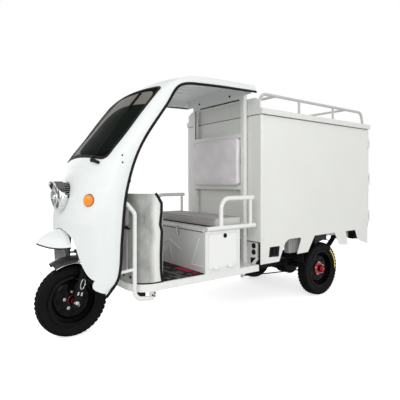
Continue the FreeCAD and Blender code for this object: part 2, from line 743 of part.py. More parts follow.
def forkAssembly():
    """Telescopic fork, column, handlebar and mudguard."""
    off = size.forkOffset
    spread = size.forkSpread / 2
    axis = steeringPoint(1) - steeringPoint(0)
    legs = []
    for side in (1, -1):
        foot = steeringPoint(-22, off, side * spread)
        legs.append(Part.makeCylinder(size.forkTube, size.crownRise + 22, foot, axis))
        legs.append(Part.makeCylinder(size.forkTube + 5, 190, foot, axis))
    crownAt = steeringPoint(size.crownRise - size.crownThick, off - 55, -spread - 28)
    crown = Part.makeBox(86, 2 * spread + 56, size.crownThick, crownAt)
    crown.rotate(crownAt, vec(0, 1, 0), -size.rakeAngle)
    columnLow = steeringPoint(size.crownRise - 20)
    column = Part.makeCylinder(size.columnRadius, size.barRise - size.crownRise + 20, columnLow, axis)
    spindle = Part.makeCylinder(size.axleRadius, 2 * spread + 30,
                                vec(size.frontWheelX, -spread - 15, size.wheelRadius), vec(0, 1, 0))
    whole = fused(legs + [crown, column, spindle])
    node("fork", feature("fork", whole))

    half = size.barHalf
    back = size.barSweep
    points = []
    clamp = steeringPoint(size.barRise + 14)
    for y, aft, up in ((-half, back, 6), (-half * 0.55, back, 6), (-half * 0.3, 0, 0), (half * 0.3, 0, 0),
                       (half * 0.55, back, 6), (half, back, 6)):
        points.append(clamp + vec(-aft, y, up))
    bar = tube(points, size.barRadius, 40)
    grips = []
    for side in (1, -1):
        start = clamp + vec(-back, side * (half - 120), 6)
        grips.append(Part.makeCylinder(size.gripRadius, 125, start, vec(0, side, 0)))
    stem = Part.makeCylinder(26, 34, steeringPoint(size.barRise + size.seatGap), axis)
    node("handlebar", feature("handlebar", fused([bar, stem] + grips)))

    guard = size.guardRadius
    gap = size.guardSkin
    wide = size.guardHalf

    def arch(inset):
        top = guard - inset
        side = wide - inset
        low = size.wheelRadius + 14 - (5 if inset else 0)
        return top, side, low

    top, side, low = arch(0)
    topIn, sideIn, lowIn = arch(gap)
    cx, cz = size.frontWheelX, size.wheelRadius

    def at(radius, y):
        return vec(cx + radius, y, cz)

    edges = [
        Part.LineSegment(at(low, side), at(top - 26, side)),
        Part.Arc(at(top - 26, side), at(top, 0), at(top - 26, -side)),
        Part.LineSegment(at(top - 26, -side), at(low, -side)),
        Part.LineSegment(at(low, -side), at(low, -sideIn)),
        Part.LineSegment(at(low, -sideIn), at(topIn - 24, -sideIn)),
        Part.Arc(at(topIn - 24, -sideIn), at(topIn, 0), at(topIn - 24, sideIn)),
        Part.LineSegment(at(topIn - 24, sideIn), at(low, sideIn)),
        Part.LineSegment(at(low, sideIn), at(low, side)),
    ]
    face = Part.Face(Part.Wire([edge.toShape() for edge in edges]))
    face.rotate(vec(cx, 0, cz), vec(0, 1, 0), -size.guardStart)
    shape = face.revolve(vec(cx, 0, cz), vec(0, 1, 0), size.guardStart - size.guardEnd)
    tabs = []
    for side in (1, -1):
        reach = size.forkSpread / 2 - size.forkTube - size.seatGap - wide
        spot = steeringPoint(270, off, 0)
        y = wide - 1 if side > 0 else -wide - reach
        tabs.append(Part.makeBox(40, reach + 1, 30, vec(spot.x - 20, y, spot.z - 15)))
    post = Part.makeCone(13, 26, 100, vec(1391, 0, 535), vec(0.12, 0, 1))
    shape = fused([shape, post] + tabs)
    node("front_mudguard", feature("front_mudguard", shape))


# Seat

def seatBox():
    """Folded steel box under the seat, with its side hatch, lid, cushion and armrests."""
    wall = "sheet * 1.5"
    base = "floorTop + seatGap"
    tall = f"seatTop - ({base})"
    deep = "seatFrontX - seatRearX"
    outer = box("seat_outer", ("seatRearX", "-floorHalf", base), (deep, "2 * floorHalf", tall))
    inner = box("seat_inner", (f"seatRearX + {wall}", f"-floorHalf + {wall}", f"{base} + {wall}"),
                (f"{deep} - 2 * {wall}", f"2 * floorHalf - 2 * {wall}", tall))
    doorway = box("hatch_hole", ("seatRearX + 30", "floorHalf - 20", "floorTop + 30"),
                  (f"{deep} - 60", "40", "seatTop - floorTop - 50"))
    shell = cut("seat_shell", outer, [inner, doorway])
    skin = size.sheet * 1.5
    hatchZ = size.floorTop + 30
    axisY = size.floorHalf + size.knuckle + 1
    spots = [(size.seatRearX + 100, axisY, hatchZ + 2), (size.seatFrontX - 100, axisY, hatchZ + 2)]
    still, moving = hinge(spots, (1, 0, 0), (0, -10, -10), (0, -10, 12), 22.0)
    doc.recompute()
    node("seat_box", feature("seat_box", fused([shell.Shape] + still)))
    leaf = Part.makeBox(size.seatFrontX - size.seatRearX - 70, skin, size.seatTop - size.floorTop - 60,
                        vec(size.seatRearX + 35, size.floorHalf - skin, hatchZ + 5))
    node("seat_hatch", feature("seat_hatch", fused([leaf] + moving)))

    x = size.lidHingeX
    z = size.seatTop + size.seatGap + size.lidThick / 2
    spots = [(x, -300, z), (x, 0, z), (x, 300, z)]
    still, moving = hinge(spots, (0, 1, 0), (-16, 0, 0), (12, 0, 0))
    lid = Part.makeBox(size.seatFrontX + 2 - x - 9, 2 * (size.armHalf - size.armTube - 8), size.lidThick,
                       vec(x + 9, -size.armHalf + size.armTube + 8, size.seatTop + size.seatGap))
    node("seat_lid", feature("seat_lid", fused([lid] + moving)))
    cushion = box("seat_cushion", ("lidHingeX + 16", "-cushionHalf", "seatTop + lidThick + 2 * seatGap"),
                  ("cushionFrontX - lidHingeX - 16", "2 * cushionHalf", "cushionThick"))
    node("seat_cushion", cushion)

    low = size.seatTop + size.armTube + 2
    high = size.armTop
    rearLeg = 114
    back = size.postX + size.postSize / 2 + size.seatGap
    sides = []
    for side in (1, -1):
        y = side * size.armHalf
        rail = tube([vec(back, y, low), vec(size.seatFrontX - 10, y, low)], size.armTube)
        bends = [vec(rearLeg - 26, y, high), vec(size.armLegX, y, high), vec(size.armLegX, y, low)]
        sides += [rail, tube(bends, size.armTube, size.armBend)]
        sides.append(Part.makeCylinder(size.armTube - 4, high - low, vec(rearLeg, y, low), vec(0, 0, 1)))
        sides.append(Part.makeBox(40, size.armHalf - size.postHalf + 10, 20,
                                  vec(back, y if side < 0 else size.postHalf - 10, low - 10)))
        foot = vec(size.seatFrontX - 30, side * (size.floorHalf - 2), size.seatTop + size.seatGap)
        sides.append(Part.makeCylinder(8, low - size.seatTop - size.seatGap, foot, vec(0, 0, 1)))
    span = size.armHalf - 6
    sides.append(Part.makeCylinder(size.armTube - 5, 2 * span, vec(x - 23, -span, low), vec(0, 1, 0)))
    node("armrests", feature("armrests", fused(sides + still)))

    inset = size.sheet * 1.5 + 2 * size.seatGap
    battery = Part.makeBox(size.seatFrontX - size.seatRearX - 60, 680, 215,
                           vec(size.seatRearX + 30, -340, size.floorTop + inset))
    high = size.boxBase - size.seatGap
    outer = size.boxHalf - 40
    start = size.boxFrontX - 0.356 * size.boxLength
    controller = Part.makeBox(172, 56, 134, vec(start, outer - 56, high - 134))
    for i in range(8):
        groove = Part.makeBox(10, 12, 140, vec(start + 10 + 20 * i, outer - 10, high - 136))
        controller = controller.cut(groove)
    node("battery_pack", feature("battery_pack", Part.makeCompound([battery, controller])))


def partition():
    """Square tube frame behind the seat, with the backrest pad on its front."""
    half = "postSize / 2"
    base = "floorTop + seatGap"
    pieces = []
    for name, y in (("left", f"postHalf - {half}"), ("right", f"-postHalf - {half}")):
        pieces.append(box(f"post_{name}", (f"postX - {half}", y, base),
                          ("postSize", "postSize", f"postTop - ({base})")))
    for name, z in (("beam_top", "beamTop"), ("beam_panel", "beamPanel"), ("beam_low", "beamLow"),
                    ("beam_seat", "beamSeat")):
        pieces.append(box(name, (f"postX - {half}", "-postHalf", z),
                          ("postSize", "2 * postHalf", "postSize")))
    pieces.append(box("back_sheet", ("postX - 2", "-postHalf", f"beamLow + {half}"),
                      ("4", "2 * postHalf", "beamPanel - beamLow")))
    node("partition_frame", join("partition_frame", pieces))
    tall = "beamPanel - beamLow - postSize - 8"
    panel = box("partition_panel", ("postX + 2 + seatGap", "-backHalf", "beamLow + postSize + 4"),
                ("backThick", "2 * backHalf", tall))
    node("partition_panel", panel)


# Cargo box

def cargoBox():
    """Sheet panels: floor, sides with their skirts, front wall, roof with rim and fascia, rear doors."""
    rear = size.boxFrontX - size.boxLength
    front = size.boxFrontX
    half = size.boxHalf
    wall = size.boxWall
    top = size.boxTop - size.roofThick - size.seatGap

    floor = box("cargo_floor", ("boxFrontX - boxLength", "-boxHalf + boxWall + seatGap", "boxBase + seatGap"),
                ("boxLength - boxWall - seatGap", "2 * (boxHalf - boxWall - seatGap)", "boxFloor - boxBase"))
    node("cargo_floor", floor)

    # The skirt's lower edge at the side: share of the box's length behind its front, and height.
    edge = [
        (0.0, 397), (0.1371, 395), (0.1648, 482), (0.1887, 548), (0.217, 572), (0.3082, 572), (0.3195, 560),
        (0.2849, 432), (0.3774, 434), (0.4384, 572), (0.6314, 574), (0.6843, 450), (0.7717, 435),
        (0.7491, 575), (0.8516, 578), (0.8811, 486), (0.9164, 452), (1.0, 414),
    ]
    window = [(0.066, 526), (0.144, 525), (0.1365, 437), (0.0591, 444)]
    ring = [vec(front - share * size.boxLength, half, z) for share, z in edge + [(1.0, top), (0.0, top)]]
    lines = [Part.LineSegment(a, b).toShape() for a, b in zip(ring, ring[1:] + ring[:1])]
    skin = Part.Face(Part.Wire(lines)).extrude(vec(0, -size.skirtSkin, 0))
    lining = Part.makeBox(size.boxLength, wall, top - size.boxBase, vec(rear, half - wall, size.boxBase))
    window = [vec(front - share * size.boxLength, half + 1, z) for share, z in window]
    lines = [Part.LineSegment(a, b).toShape() for a, b in zip(window, window[1:] + window[:1])]
    hole = Part.Face(Part.Wire(lines)).extrude(vec(0, -wall, 0))
    left = fused([skin, lining]).cut(hole)
    right = left.mirror(vec(0, 0, 0), vec(0, 1, 0))
    node("cargo_sides", feature("cargo_sides", Part.makeCompound([left, right])))

    inside = "2 * (boxHalf - boxWall - seatGap)"
    corner = ("boxFrontX - boxWall", "-boxHalf + boxWall + seatGap", "boxBase + seatGap")
    frontWall = box("cargo_front_wall", corner,
                    ("boxWall", inside, "boxTop - roofThick - boxBase - 2 * seatGap"))
    node("cargo_front_wall", frontWall)

    slab = box("roof_slab", ("boxFrontX - boxLength - rimOut", "-boxHalf - rimOut", "boxTop - rimDrop"),
               ("boxLength + rimOut + sheet", "2 * (boxHalf + rimOut)", "rimDrop"))
    corner = ("boxFrontX - boxLength - rimOut + sheet", "-boxHalf - seatGap", "boxTop - rimDrop - 1")
    hollow = box("roof_hollow", corner, ("boxLength + rimOut - sheet + seatGap", "2 * (boxHalf + seatGap)",
                                         "rimDrop - roofThick + 1"))
    lip = outline("fascia_outline", "YZ", [
        ("-boxHalf + 6", "boxTop - 1"), ("boxHalf - 6", "boxTop - 1"), ("boxHalf - 6", "fasciaTop - 30"),
        ("boxHalf - 60", "fasciaTop"), ("-boxHalf + 60", "fasciaTop"), ("-boxHalf + 6", "fasciaTop - 30"),
    ], "boxFrontX + sheet - 8")
    fascia = prism("fascia", lip, "16", "X")
    roof = cut("roof_shell", slab, [hollow])
    node("cargo_roof", join("cargo_roof", [roof, fascia]))

    knuckle = size.knuckle
    clear = size.doorGap
    outerX = rear - clear - size.doorThick
    axisY = half + size.skirtSkin - knuckle
    tall = size.boxTop - size.rimDrop - size.boxBase - 2 * clear
    spots = [(outerX - knuckle, axisY, size.boxBase + clear + share * tall) for share in (0.12, 0.5, 0.88)]
    still, moving = hinge(spots, (0, 0, 1), (0, knuckle - 1, 0), (knuckle + 2, -12, 0), 40.0)
    straps = []
    for spot in spots:
        straps.append(Part.makeBox(80, size.skirtSkin - size.seatGap, 120,
                                   vec(outerX - knuckle, half + size.seatGap, spot[2] - 60)))
    leftHalf = Part.makeBox(400, 2 * half, 3 * half, vec(outerX - 100, size.seatGap, 0))
    hinges = fused(straps + still).common(leftHalf)
    slots = [Part.makeBox(80, 20, 41, vec(outerX - knuckle - 40, half, spot[2] - 20.5)) for spot in spots]
    hinges = hinges.cut(Part.makeCompound(slots))
    foot = vec(outerX, clear / 2, size.boxBase + clear)
    leaf = Part.makeBox(size.doorThick, half - 1.5 * clear, tall, foot)
    left = fused([leaf] + moving)
    both = Part.makeCompound([hinges, hinges.mirror(vec(0, 0, 0), vec(0, 1, 0))])
    node("door_hinges", feature("door_hinges", both))
    node("cargo_door_left", feature("cargo_door_left", left))
    bar = Part.makeCylinder(6, tall - 60, vec(outerX - 6, -34, size.boxBase + clear + 30), vec(0, 0, 1))
    handle = Part.makeBox(8, 120, 22, vec(outerX - 14, -154, size.boxBase + clear + tall * 0.42))
    foot = Part.makeBox(14, 22, 34, vec(outerX - 14, -154, size.boxBase + clear + tall * 0.42 - 6))
    right = left.mirror(vec(0, 0, 0), vec(0, 1, 0))
    node("cargo_door_right", feature("cargo_door_right", fused([right, bar, handle, foot])))


def roofRack():
    """Two bent side rails on posts, with cross bars."""
    foot = size.boxTop + size.seatGap
    high = size.rackTop
    thin = size.rackTube
    pieces = []
    for side in (1, -1):
        y = side * size.rackHalf
        front = size.boxFrontX - 32
        rear = size.boxFrontX - size.boxLength + 18
        points = [vec(front, y, foot), vec(front, y, foot + 30), vec(front - 30, y, high),
                  vec(rear + 30, y, high), vec(rear, y, foot + 30), vec(rear, y, foot)]
        pieces.append(tube(points, thin, 70))
        for share in (0.339, 0.659):
            x = size.boxFrontX - share * size.boxLength
            pieces.append(Part.makeCylinder(thin - 2, high - foot, vec(x, y, foot), vec(0, 0, 1)))
    for share in (0.1447, 0.8006):
        x = size.boxFrontX - share * size.boxLength
        start = vec(x, -size.rackHalf, high)
        pieces.append(Part.makeCylinder(thin - 2, 2 * size.rackHalf, start, vec(0, 1, 0)))
    node("roof_rack", feature("roof_rack", fused(pieces)))


def guardHoops():
    """Bent tubes in front of the doorways, with a strut and brackets to the shell and the floor."""
    sides = []
    thin = size.hoopTube
    inner = size.cabHalf - size.cabSkin - size.seatGap
    y = inner - size.sealRadius + 2 - thin
    points = [vec(1215, y, 915), vec(1175, y, 930), vec(1113, y, 860), vec(1113, y, 336), vec(1080, y, 305),
              vec(980, y, 293)]
    hoop = tube(points, thin, 50)
    strut = Part.makeCylinder(thin - 4, 136, vec(1113, y, 500), vec(1, 0, -0.08))
    foot = Part.makeBox(50, 6, size.floorTop - size.floorDrop - size.seatGap - 293, vec(955, y - 3, 293))
    upper = Part.makeBox(24, inner - y, 30, vec(1206, y, 900))
    lower = Part.makeBox(10, inner - y, 20, vec(1243, y, 488))
    left = fused([hoop, strut, foot, upper, lower])
    sides = [left, left.mirror(vec(0, 0, 0), vec(0, 1, 0))]
    node("guard_hoops", feature("guard_hoops", Part.makeCompound(sides)))


# Running gear

def rearAxle():
    """Axle tube with the motor and gear housing, spindles and leaf springs."""
    x = size.rearWheelX
    z = size.wheelRadius
    inner = size.track / 2 - 50
    beam = Part.makeCylinder(size.axleTube, 2 * inner, vec(x, -inner, z), vec(0, 1, 0))
    start = vec(x, -size.track / 2 - 48, z)
    spindle = Part.makeCylinder(size.axleRadius, size.track + 96, start, vec(0, 1, 0))
    housing = Part.makeCylinder(105, 130, vec(x, -20, z), vec(0, 1, 0))
    motor = Part.makeCylinder(85, 190, vec(x + 20, -220, z), vec(0, 1, 0))
    pads = [Part.makeBox(110, 60, 26, vec(x - 55, side * size.springHalf - 30, z + 22)) for side in (1, -1)]
    lever = Part.makeBox(50, 30, 60, vec(x + 12, 255, 190))
    node("rear_axle", feature("rear_axle", fused([beam, spindle, housing, motor, lever] + pads)))

    leaves = []
    low = z + 48 + size.seatGap
    high = size.boxBase - size.railHeight - size.seatGap
    for side in (1, -1):
        y = side * size.springHalf - 25
        under = Part.Arc(vec(x - 440, y, high - 30), vec(x, y, low), vec(x + 440, y, high - 30))
        over = Part.Arc(vec(x + 440, y, high - 18), vec(x, y, low + 24), vec(x - 440, y, high - 18))
        ends = [Part.LineSegment(vec(x + 440, y, high - 30), vec(x + 440, y, high - 18)).toShape(),
                Part.LineSegment(vec(x - 440, y, high - 18), vec(x - 440, y, high - 30)).toShape()]
        ring = [under.toShape(), ends[0], over.toShape(), ends[1]]
        leaf = Part.Face(Part.Wire(ring)).extrude(vec(0, 50, 0))
        shackles = [Part.makeBox(36, 50, 42, vec(px, y, high - 42)) for px in (x - 458, x + 422)]
        leaves.append(fused([leaf] + shackles))
    node("leaf_springs", feature("leaf_springs", Part.makeCompound(leaves)))


def rearDetails():
    """Mudguards over the rear wheels, tail lamps and brake rod."""
    x = size.rearWheelX
    z = size.wheelRadius
    inside = size.railHalf + size.railWidth / 2 + size.seatGap
    wide = size.boxHalf - size.skirtSkin - 4 - inside
    guards = []
    for side in (1, -1):
        y = inside if side > 0 else -inside - wide
        outer = Part.makeCylinder(z + 32, wide, vec(x, y, z), vec(0, 1, 0))
        hollow = Part.makeCylinder(z + 28, wide + 2, vec(x, y - 1, z), vec(0, 1, 0))
        band = outer.cut(hollow)
        band = band.common(Part.makeBox(223, wide + 2, z + 80, vec(x - 95, y - 1, z + 120)))
        hangY = side * 453 - 33
        hanger = Part.makeBox(176, 66, size.boxBase - size.seatGap - 490, vec(x - 48, hangY, 490))
        guards.append(fused([band, hanger.cut(hollow)]))
    node("rear_mudguards", feature("rear_mudguards", Part.makeCompound(guards)))

    back = size.boxFrontX - size.boxLength
    lamps = []
    for side in (1, -1):
        y = side * 380 - 60
        lamps.append(Part.makeBox(22, 120, 50, vec(back - 22 - size.seatGap, y, size.boxBase - 115)))
    node("tail_lamps", feature("tail_lamps", Part.makeCompound(lamps)))

    rod = tube([vec(-size.seatGap, 270, 262), vec(-306, 270, 238), vec(-745, 270, 212)], 5)
    node("brake_rod", feature("brake_rod", rod))


def cabDetails():
    """Dashboard across the shell, windscreen wiper and brake pedal."""
    core = cabRoom(size.cabSkin + size.seatGap)
    side = [(1350, 1196), (1200, 1190), (1172, 1172), (1186, 1152), (1350, 1146)]
    points = [vec(x, -size.cabHalf, z) for x, z in side]
    lines = [Part.LineSegment(a, b).toShape() for a, b in zip(points, points[1:] + points[:1])]
    block = Part.Face(Part.Wire(lines)).extrude(vec(0, 2 * size.cabHalf, 0))
    dash = block.common(core)
    pod = Part.makeCylinder(62, 70, vec(1218, 0, 1150), vec(-0.5, 0, 0.87))
    node("dashboard", feature("dashboard", fused([dash, pod])))

    y = 190
    boss = Part.makeCylinder(9, 21.2, vec(1311.9, y, 1218.6), vec(0.767, 0, 0.642))
    blade = tube([vec(1326, y, 1232), vec(1180, y, 1428), vec(1012, y, 1640)], 5)
    node("wiper", feature("wiper", fused([boss, blade])))

    base = size.floorTop + size.matThick + 2 * size.seatGap
    plate = Part.makeBox(30, 50, 4, vec(1030, -175, base))
    lever = tube([vec(1045, -150, base + 2), vec(1045, -150, 440), vec(1010, -150, 470)], 6)
    pad = Part.makeBox(8, 60, 50, vec(1000, -180, 455))
    node("brake_pedal", feature("brake_pedal", fused([plate, lever, pad])))


def coreWire(front, inner, bulge, corner, inset):
    """Closed section of the room inside the shell."""
    open_ = channelWire(front, inner, bulge, corner, inset)
    edges = open_.Edges[6:11]
    ends = (edges[0].Vertexes, edges[-1].Vertexes)
    start = ends[0][0].Point
    finish = ends[1][-1].Point
    return Part.Wire(edges + [Part.LineSegment(finish, start).toShape()])


chassisFrame()
headTube()
cabFloor()
legShield()
cabShell()
frontDetails()
wheel("front_wheel", size.frontWheelX, 0.0, 1)
wheel("rear_wheel_left", size.rearWheelX, size.track / 2, 1)
wheel("rear_wheel_right", size.rearWheelX, -size.track / 2, -1)
forkAssembly()
seatBox()
partition()
cargoBox()
roofRack()
guardHoops()
rearAxle()
rearDetails()
cabDetails()

doc.recompute()
problems = [thing.Name for thing in doc.Objects if {"Invalid", "Error"} & set(thing.State)]
for thing in parts:
    if thing.Shape.isNull() or not thing.Shape.isValid():
        problems.append(thing.Label)
if problems:
    raise RuntimeError("these pieces failed: " + ", ".join(problems))

os.makedirs("parts", exist_ok=True)
for thing in parts:
    thing.Shape.exportStep(f"parts/{thing.Label}.step")
    print(f"{thing.Label}: {len(thing.Shape.Solids)} solid, {thing.Shape.Volume / 1e6:.2f} litres")
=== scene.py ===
import math

import bmesh
import bpy
from mathutils import Matrix, Vector


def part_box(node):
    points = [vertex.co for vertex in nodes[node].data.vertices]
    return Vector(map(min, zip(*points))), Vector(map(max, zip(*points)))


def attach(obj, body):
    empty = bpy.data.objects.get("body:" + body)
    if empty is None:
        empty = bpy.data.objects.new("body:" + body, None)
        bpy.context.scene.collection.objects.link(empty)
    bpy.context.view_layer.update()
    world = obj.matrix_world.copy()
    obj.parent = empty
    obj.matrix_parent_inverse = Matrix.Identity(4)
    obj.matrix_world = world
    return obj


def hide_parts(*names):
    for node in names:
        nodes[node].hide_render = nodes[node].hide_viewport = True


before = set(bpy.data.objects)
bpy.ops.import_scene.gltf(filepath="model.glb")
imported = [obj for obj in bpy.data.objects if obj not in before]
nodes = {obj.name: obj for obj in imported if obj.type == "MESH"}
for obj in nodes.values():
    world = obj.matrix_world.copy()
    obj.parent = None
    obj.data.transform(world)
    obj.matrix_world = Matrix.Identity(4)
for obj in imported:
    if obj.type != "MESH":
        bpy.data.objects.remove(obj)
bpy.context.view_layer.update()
scene = bpy.context.scene
scene.view_settings.view_transform = "Standard"
print("frame loaded with", len(nodes), "nodes")


# Camera at the photograph's place, level, a little left of the nose
cameraSizes = {
    "place": (2.281, 2.692, 1.066), "heading": 142.97, "lens": 34.97, "sensor": 36, "shift": -0.047,
    "reach": 50,
}


def makeCamera(sizes):
    data = bpy.data.cameras.new("camera")
    data.lens = sizes["lens"]
    data.sensor_width = sizes["sensor"]
    data.shift_y = sizes["shift"]
    data.clip_end = sizes["reach"]
    camera = bpy.data.objects.new("camera", data)
    camera.location = sizes["place"]
    camera.rotation_euler = (math.radians(90), 0, math.radians(sizes["heading"]))
    scene.collection.objects.link(camera)
    scene.camera = camera


makeCamera(cameraSizes)

# Soft studio lamps: direction from the middle of the part, distance, width and power
partMiddle = Vector((0, 0, 0.9))
lamps = {
    "key": ((0.85, 0.72, 0.62), 5.5, 4.0, 92),
    "side": ((0.1, 1.0, 0.12), 6.0, 4.0, 69),
    "fill": ((1.0, -0.25, 0.30), 6.0, 4.0, 50),
    "far": ((0.1, -1.0, 0.35), 6.0, 4.0, 48),
    "back": ((-0.9, 0.5, 0.7), 6.0, 4.0, 35),
    "top": ((0.0, 0.0, 1.0), 5.0, 5.0, 30),
}


def makeLamps(table):
    for name, (toward, distance, width, power) in table.items():
        data = bpy.data.lights.new(name, "AREA")
        data.shape = "SQUARE"
        data.size = width
        data.energy = power
        lamp = bpy.data.objects.new(name, data)
        away = Vector(toward).normalized()
        lamp.location = partMiddle + away * distance
        lamp.rotation_euler = away.to_track_quat("Z", "Y").to_euler()
        scene.collection.objects.link(lamp)


makeLamps(lamps)


class Signal:  # an output in a shader tree that can be added, multiplied and fed on
    def __init__(self, tree, socket):
        self.tree = tree
        self.socket = socket

    def node(self, kind, inputs=(), out=0, **settings):  # adds a node; inputs by place or name
        made = self.tree.nodes.new(kind)
        for name, value in settings.items():
            setattr(made, name, value)
        pairs = inputs.items() if isinstance(inputs, dict) else enumerate(inputs)
        for key, value in pairs:
            if isinstance(value, Signal):
                self.tree.links.new(value.socket, made.inputs[key])
            elif value is not None:
                made.inputs[key].default_value = value
        return Signal(self.tree, made.outputs[out])

    def maths(self, operation, *others):
        return self.node("ShaderNodeMath", (self, *others), operation=operation)

    def __add__(self, other):
        return self.maths("ADD", other)

    def __sub__(self, other):
        return self.maths("SUBTRACT", other)

    def __mul__(self, other):
        return self.maths("MULTIPLY", other)

    def __truediv__(self, other):
        return self.maths("DIVIDE", other)

    def __gt__(self, other):
        return self.maths("GREATER_THAN", other)

    def __lt__(self, other):
        return self.maths("LESS_THAN", other)

    def part(self, axis):  # one coordinate of a position
        return self.node("ShaderNodeSeparateXYZ", (self,), out="XYZ".index(axis))

    def stretch(self, scale):
        return self.node("ShaderNodeMapping", {"Vector": self, "Scale": scale})

    def noise(self, scale, detail=3.0, rough=0.5):
        settings = {"Vector": self, "Scale": scale, "Detail": detail, "Roughness": rough}
        return self.node("ShaderNodeTexNoise", settings, out="Fac")

    def cells(self, scale):
        return self.node("ShaderNodeTexVoronoi", {"Vector": self, "Scale": scale}, out="Distance")

    def span(self, low, high, newLow=0.0, newHigh=1.0):  # stretches a range, held at its ends
        return self.node("ShaderNodeMapRange", (self, low, high, newLow, newHigh))

    def blend(self, first, second):  # mixes two colours by this signal
        made = self.tree.nodes.new("ShaderNodeMix")
        made.data_type = "RGBA"
        self.tree.links.new(self.socket, made.inputs["Factor"])
        for place, value in ((6, first), (7, second)):
            if isinstance(value, Signal):
                self.tree.links.new(value.socket, made.inputs[place])
            else:
                made.inputs[place].default_value = (*value, 1)
        return Signal(self.tree, made.outputs[2])

    def bump(self, distance):
        return self.node("ShaderNodeBump", {"Height": self, "Distance": distance})


def newFinish(name, slotName, **fixed):  # a material, its shader and the position it is patterned on
    material = bpy.data.materials.new(name)
    material.use_nodes = True
    tree = material.node_tree
    shader = tree.nodes["Principled BSDF"]
    for key, value in fixed.items():
        shader.inputs[key.replace("_", " ")].default_value = value
    where = Signal(tree, tree.nodes.new("ShaderNodeTexCoord").outputs["Object"])
    return material, shader, where


def wire(shader, **signals):
    for key, signal in signals.items():
        signal.tree.links.new(signal.socket, shader.inputs[key.replace("_", " ")])


roadDust = (0.30, 0.28, 0.25)


def paint(name, slotName, colour, rough=0.3, peel=0.00006, dirt=0.0, coat=0.0, low=0.0, high=0.6, shine=0.5):
    # sprayed or powder coat: faint mottling, orange peel, and road dust that fades from low up to high
    fixed = {"Coat_Weight": coat, "Coat_Roughness": 0.05, "Specular_IOR_Level": shine}
    material, shader, where = newFinish(name, slotName, **fixed)
    cloudy = where.noise(2.3, 4, 0.55)
    dusty = (where.part("Z").span(low, high, 1, 0) * where.noise(9, 5, 0.65)).span(0.25, 0.75, 0, dirt)
    shade = cloudy.blend([c * 0.955 for c in colour], [min(1, c * 1.03) for c in colour])
    grit = [0.5 * c + 0.5 * g for c, g in zip(colour, roadDust)]
    wire(shader, Base_Color=dusty.blend(shade, grit))
    wire(shader, Roughness=where.noise(14, 4, 0.6).span(0.3, 0.7, rough * 0.8, rough * 1.25) + dusty * 0.4)
    grain = where.noise(420, 2, 0.5) + where.noise(60, 2, 0.5) * 2
    wire(shader, Normal=grain.bump(peel))
    return material


shieldLines = {"edge": 0.932, "flange": (0.995, 1.035)}  # where the edge's painted shade ends, and where the flange gives way to the painted dark reflection ahead


def shieldPaint(name, slotName):
    # grey sheet with painted light: light grey along its rear flange, painted shade at the very edge, and a
    # mottled painted dark reflection ahead of it
    material, shader, where = newFinish(name, slotName, Specular_IOR_Level=0.4)
    place = where.part("X")
    along = place + where.stretch((1, 1, 0.5)).noise(9, 2, 0.5) * 0.05
    # mottle of the painted dark reflection ahead of the flange; it also varies the roughness
    reflectionMottle = where.stretch((1.5, 1.5, 1)).noise(5, 4, 0.6).span(0.3, 0.7)
    paintedReflection = reflectionMottle.blend((0.21, 0.215, 0.205), (0.43, 0.44, 0.41))
    # painted shade on the rolled edge behind the flange, which keeps its own light grey
    flange = (place > shieldLines["edge"]).blend((0.33, 0.33, 0.32), (0.74, 0.75, 0.72))
    ahead = along.span(*shieldLines["flange"])
    wire(shader, Base_Color=ahead.blend(flange, paintedReflection))
    wire(shader, Roughness=reflectionMottle.span(0, 1, 0.25, 0.40))
    wire(shader, Normal=where.noise(60, 2, 0.5).bump(0.0003))
    return material


glassSizes = {
    "up": (0.642, 0.767), "foot": 0.0757,  # slope of the glass, and what is taken off a height along it
    "bandFar": (0.30, 0.402), "bandTop": (-0.27, 0.245), "bandFoot": (0.20, 0.164),  # start and width
    "bandEnd": (-0.204, -0.186),
    "nearHalf": 0.342, "farHalf": 0.250, "middle": 0.353, "halfTall": 0.298, "flare": 0.03,
    "dark": (0.006, 0.009, 0.007), "band": (0.185, 0.180, 0.160), "border": (0.003, 0.003, 0.003),
}


def towards(signal, start, width):  # 0 up to a start, and steeply to 1 over a width past it
    return ((signal + start) / width).maths("MAXIMUM", 0).maths("POWER", 4)


def screenGlass(name):
    # black printed border, then a muted painted reflection band round the far side, and dark glass inside
    sizes = glassSizes
    material, shader, where = newFinish(name, "glass", IOR=1.45, Specular_IOR_Level=0.003)
    across = where.part("Y")
    back, up = sizes["up"]
    rise = where.part("Z") * up - where.part("X") * back - sizes["foot"]
    hem = towards(across * -1, *sizes["bandFar"]) + towards(rise, *sizes["bandTop"])
    hem = hem + towards(rise * -1, *sizes["bandFoot"])
    # noise that varies the roughness and mottles the painted reflection band
    smearAndReflection = where.noise(4, 5, 0.6)
    band = hem.span(0.92, 1.02) * smearAndReflection.span(0.3, 0.7, 0.8, 1) * across.span(*sizes["bandEnd"])
    near = (across - rise * sizes["flare"]) / sizes["nearHalf"]
    far = (across * -1 - rise * sizes["flare"]) / sizes["farHalf"]
    edge = near.maths("MAXIMUM", far).maths("POWER", 9)
    ends = ((rise - sizes["middle"]) / sizes["halfTall"]).maths("ABSOLUTE").maths("POWER", 9)
    border = (edge + ends).span(0.97, 1.03)
    inside = band.blend(sizes["dark"], sizes["band"])
    wire(shader, Base_Color=border.blend(inside, sizes["border"]))
    wire(shader, Roughness=smearAndReflection.span(0.3, 0.8, 0.30, 0.42))
    return material


def rubber(name, slotName, tone=0.009, rough=0.6, dust=0.08):
    material, shader, where = newFinish(name, slotName, Specular_IOR_Level=0.12)
    grime = where.noise(30, 5, 0.7)
    wire(shader, Base_Color=grime.span(0.45, 0.8, 0, dust).blend((tone,) * 3, (0.10, 0.095, 0.085)))
    wire(shader, Roughness=grime.span(0.3, 0.7, rough - 0.1, rough + 0.12))
    wire(shader, Normal=where.noise(700, 2).bump(0.00012))
    return material


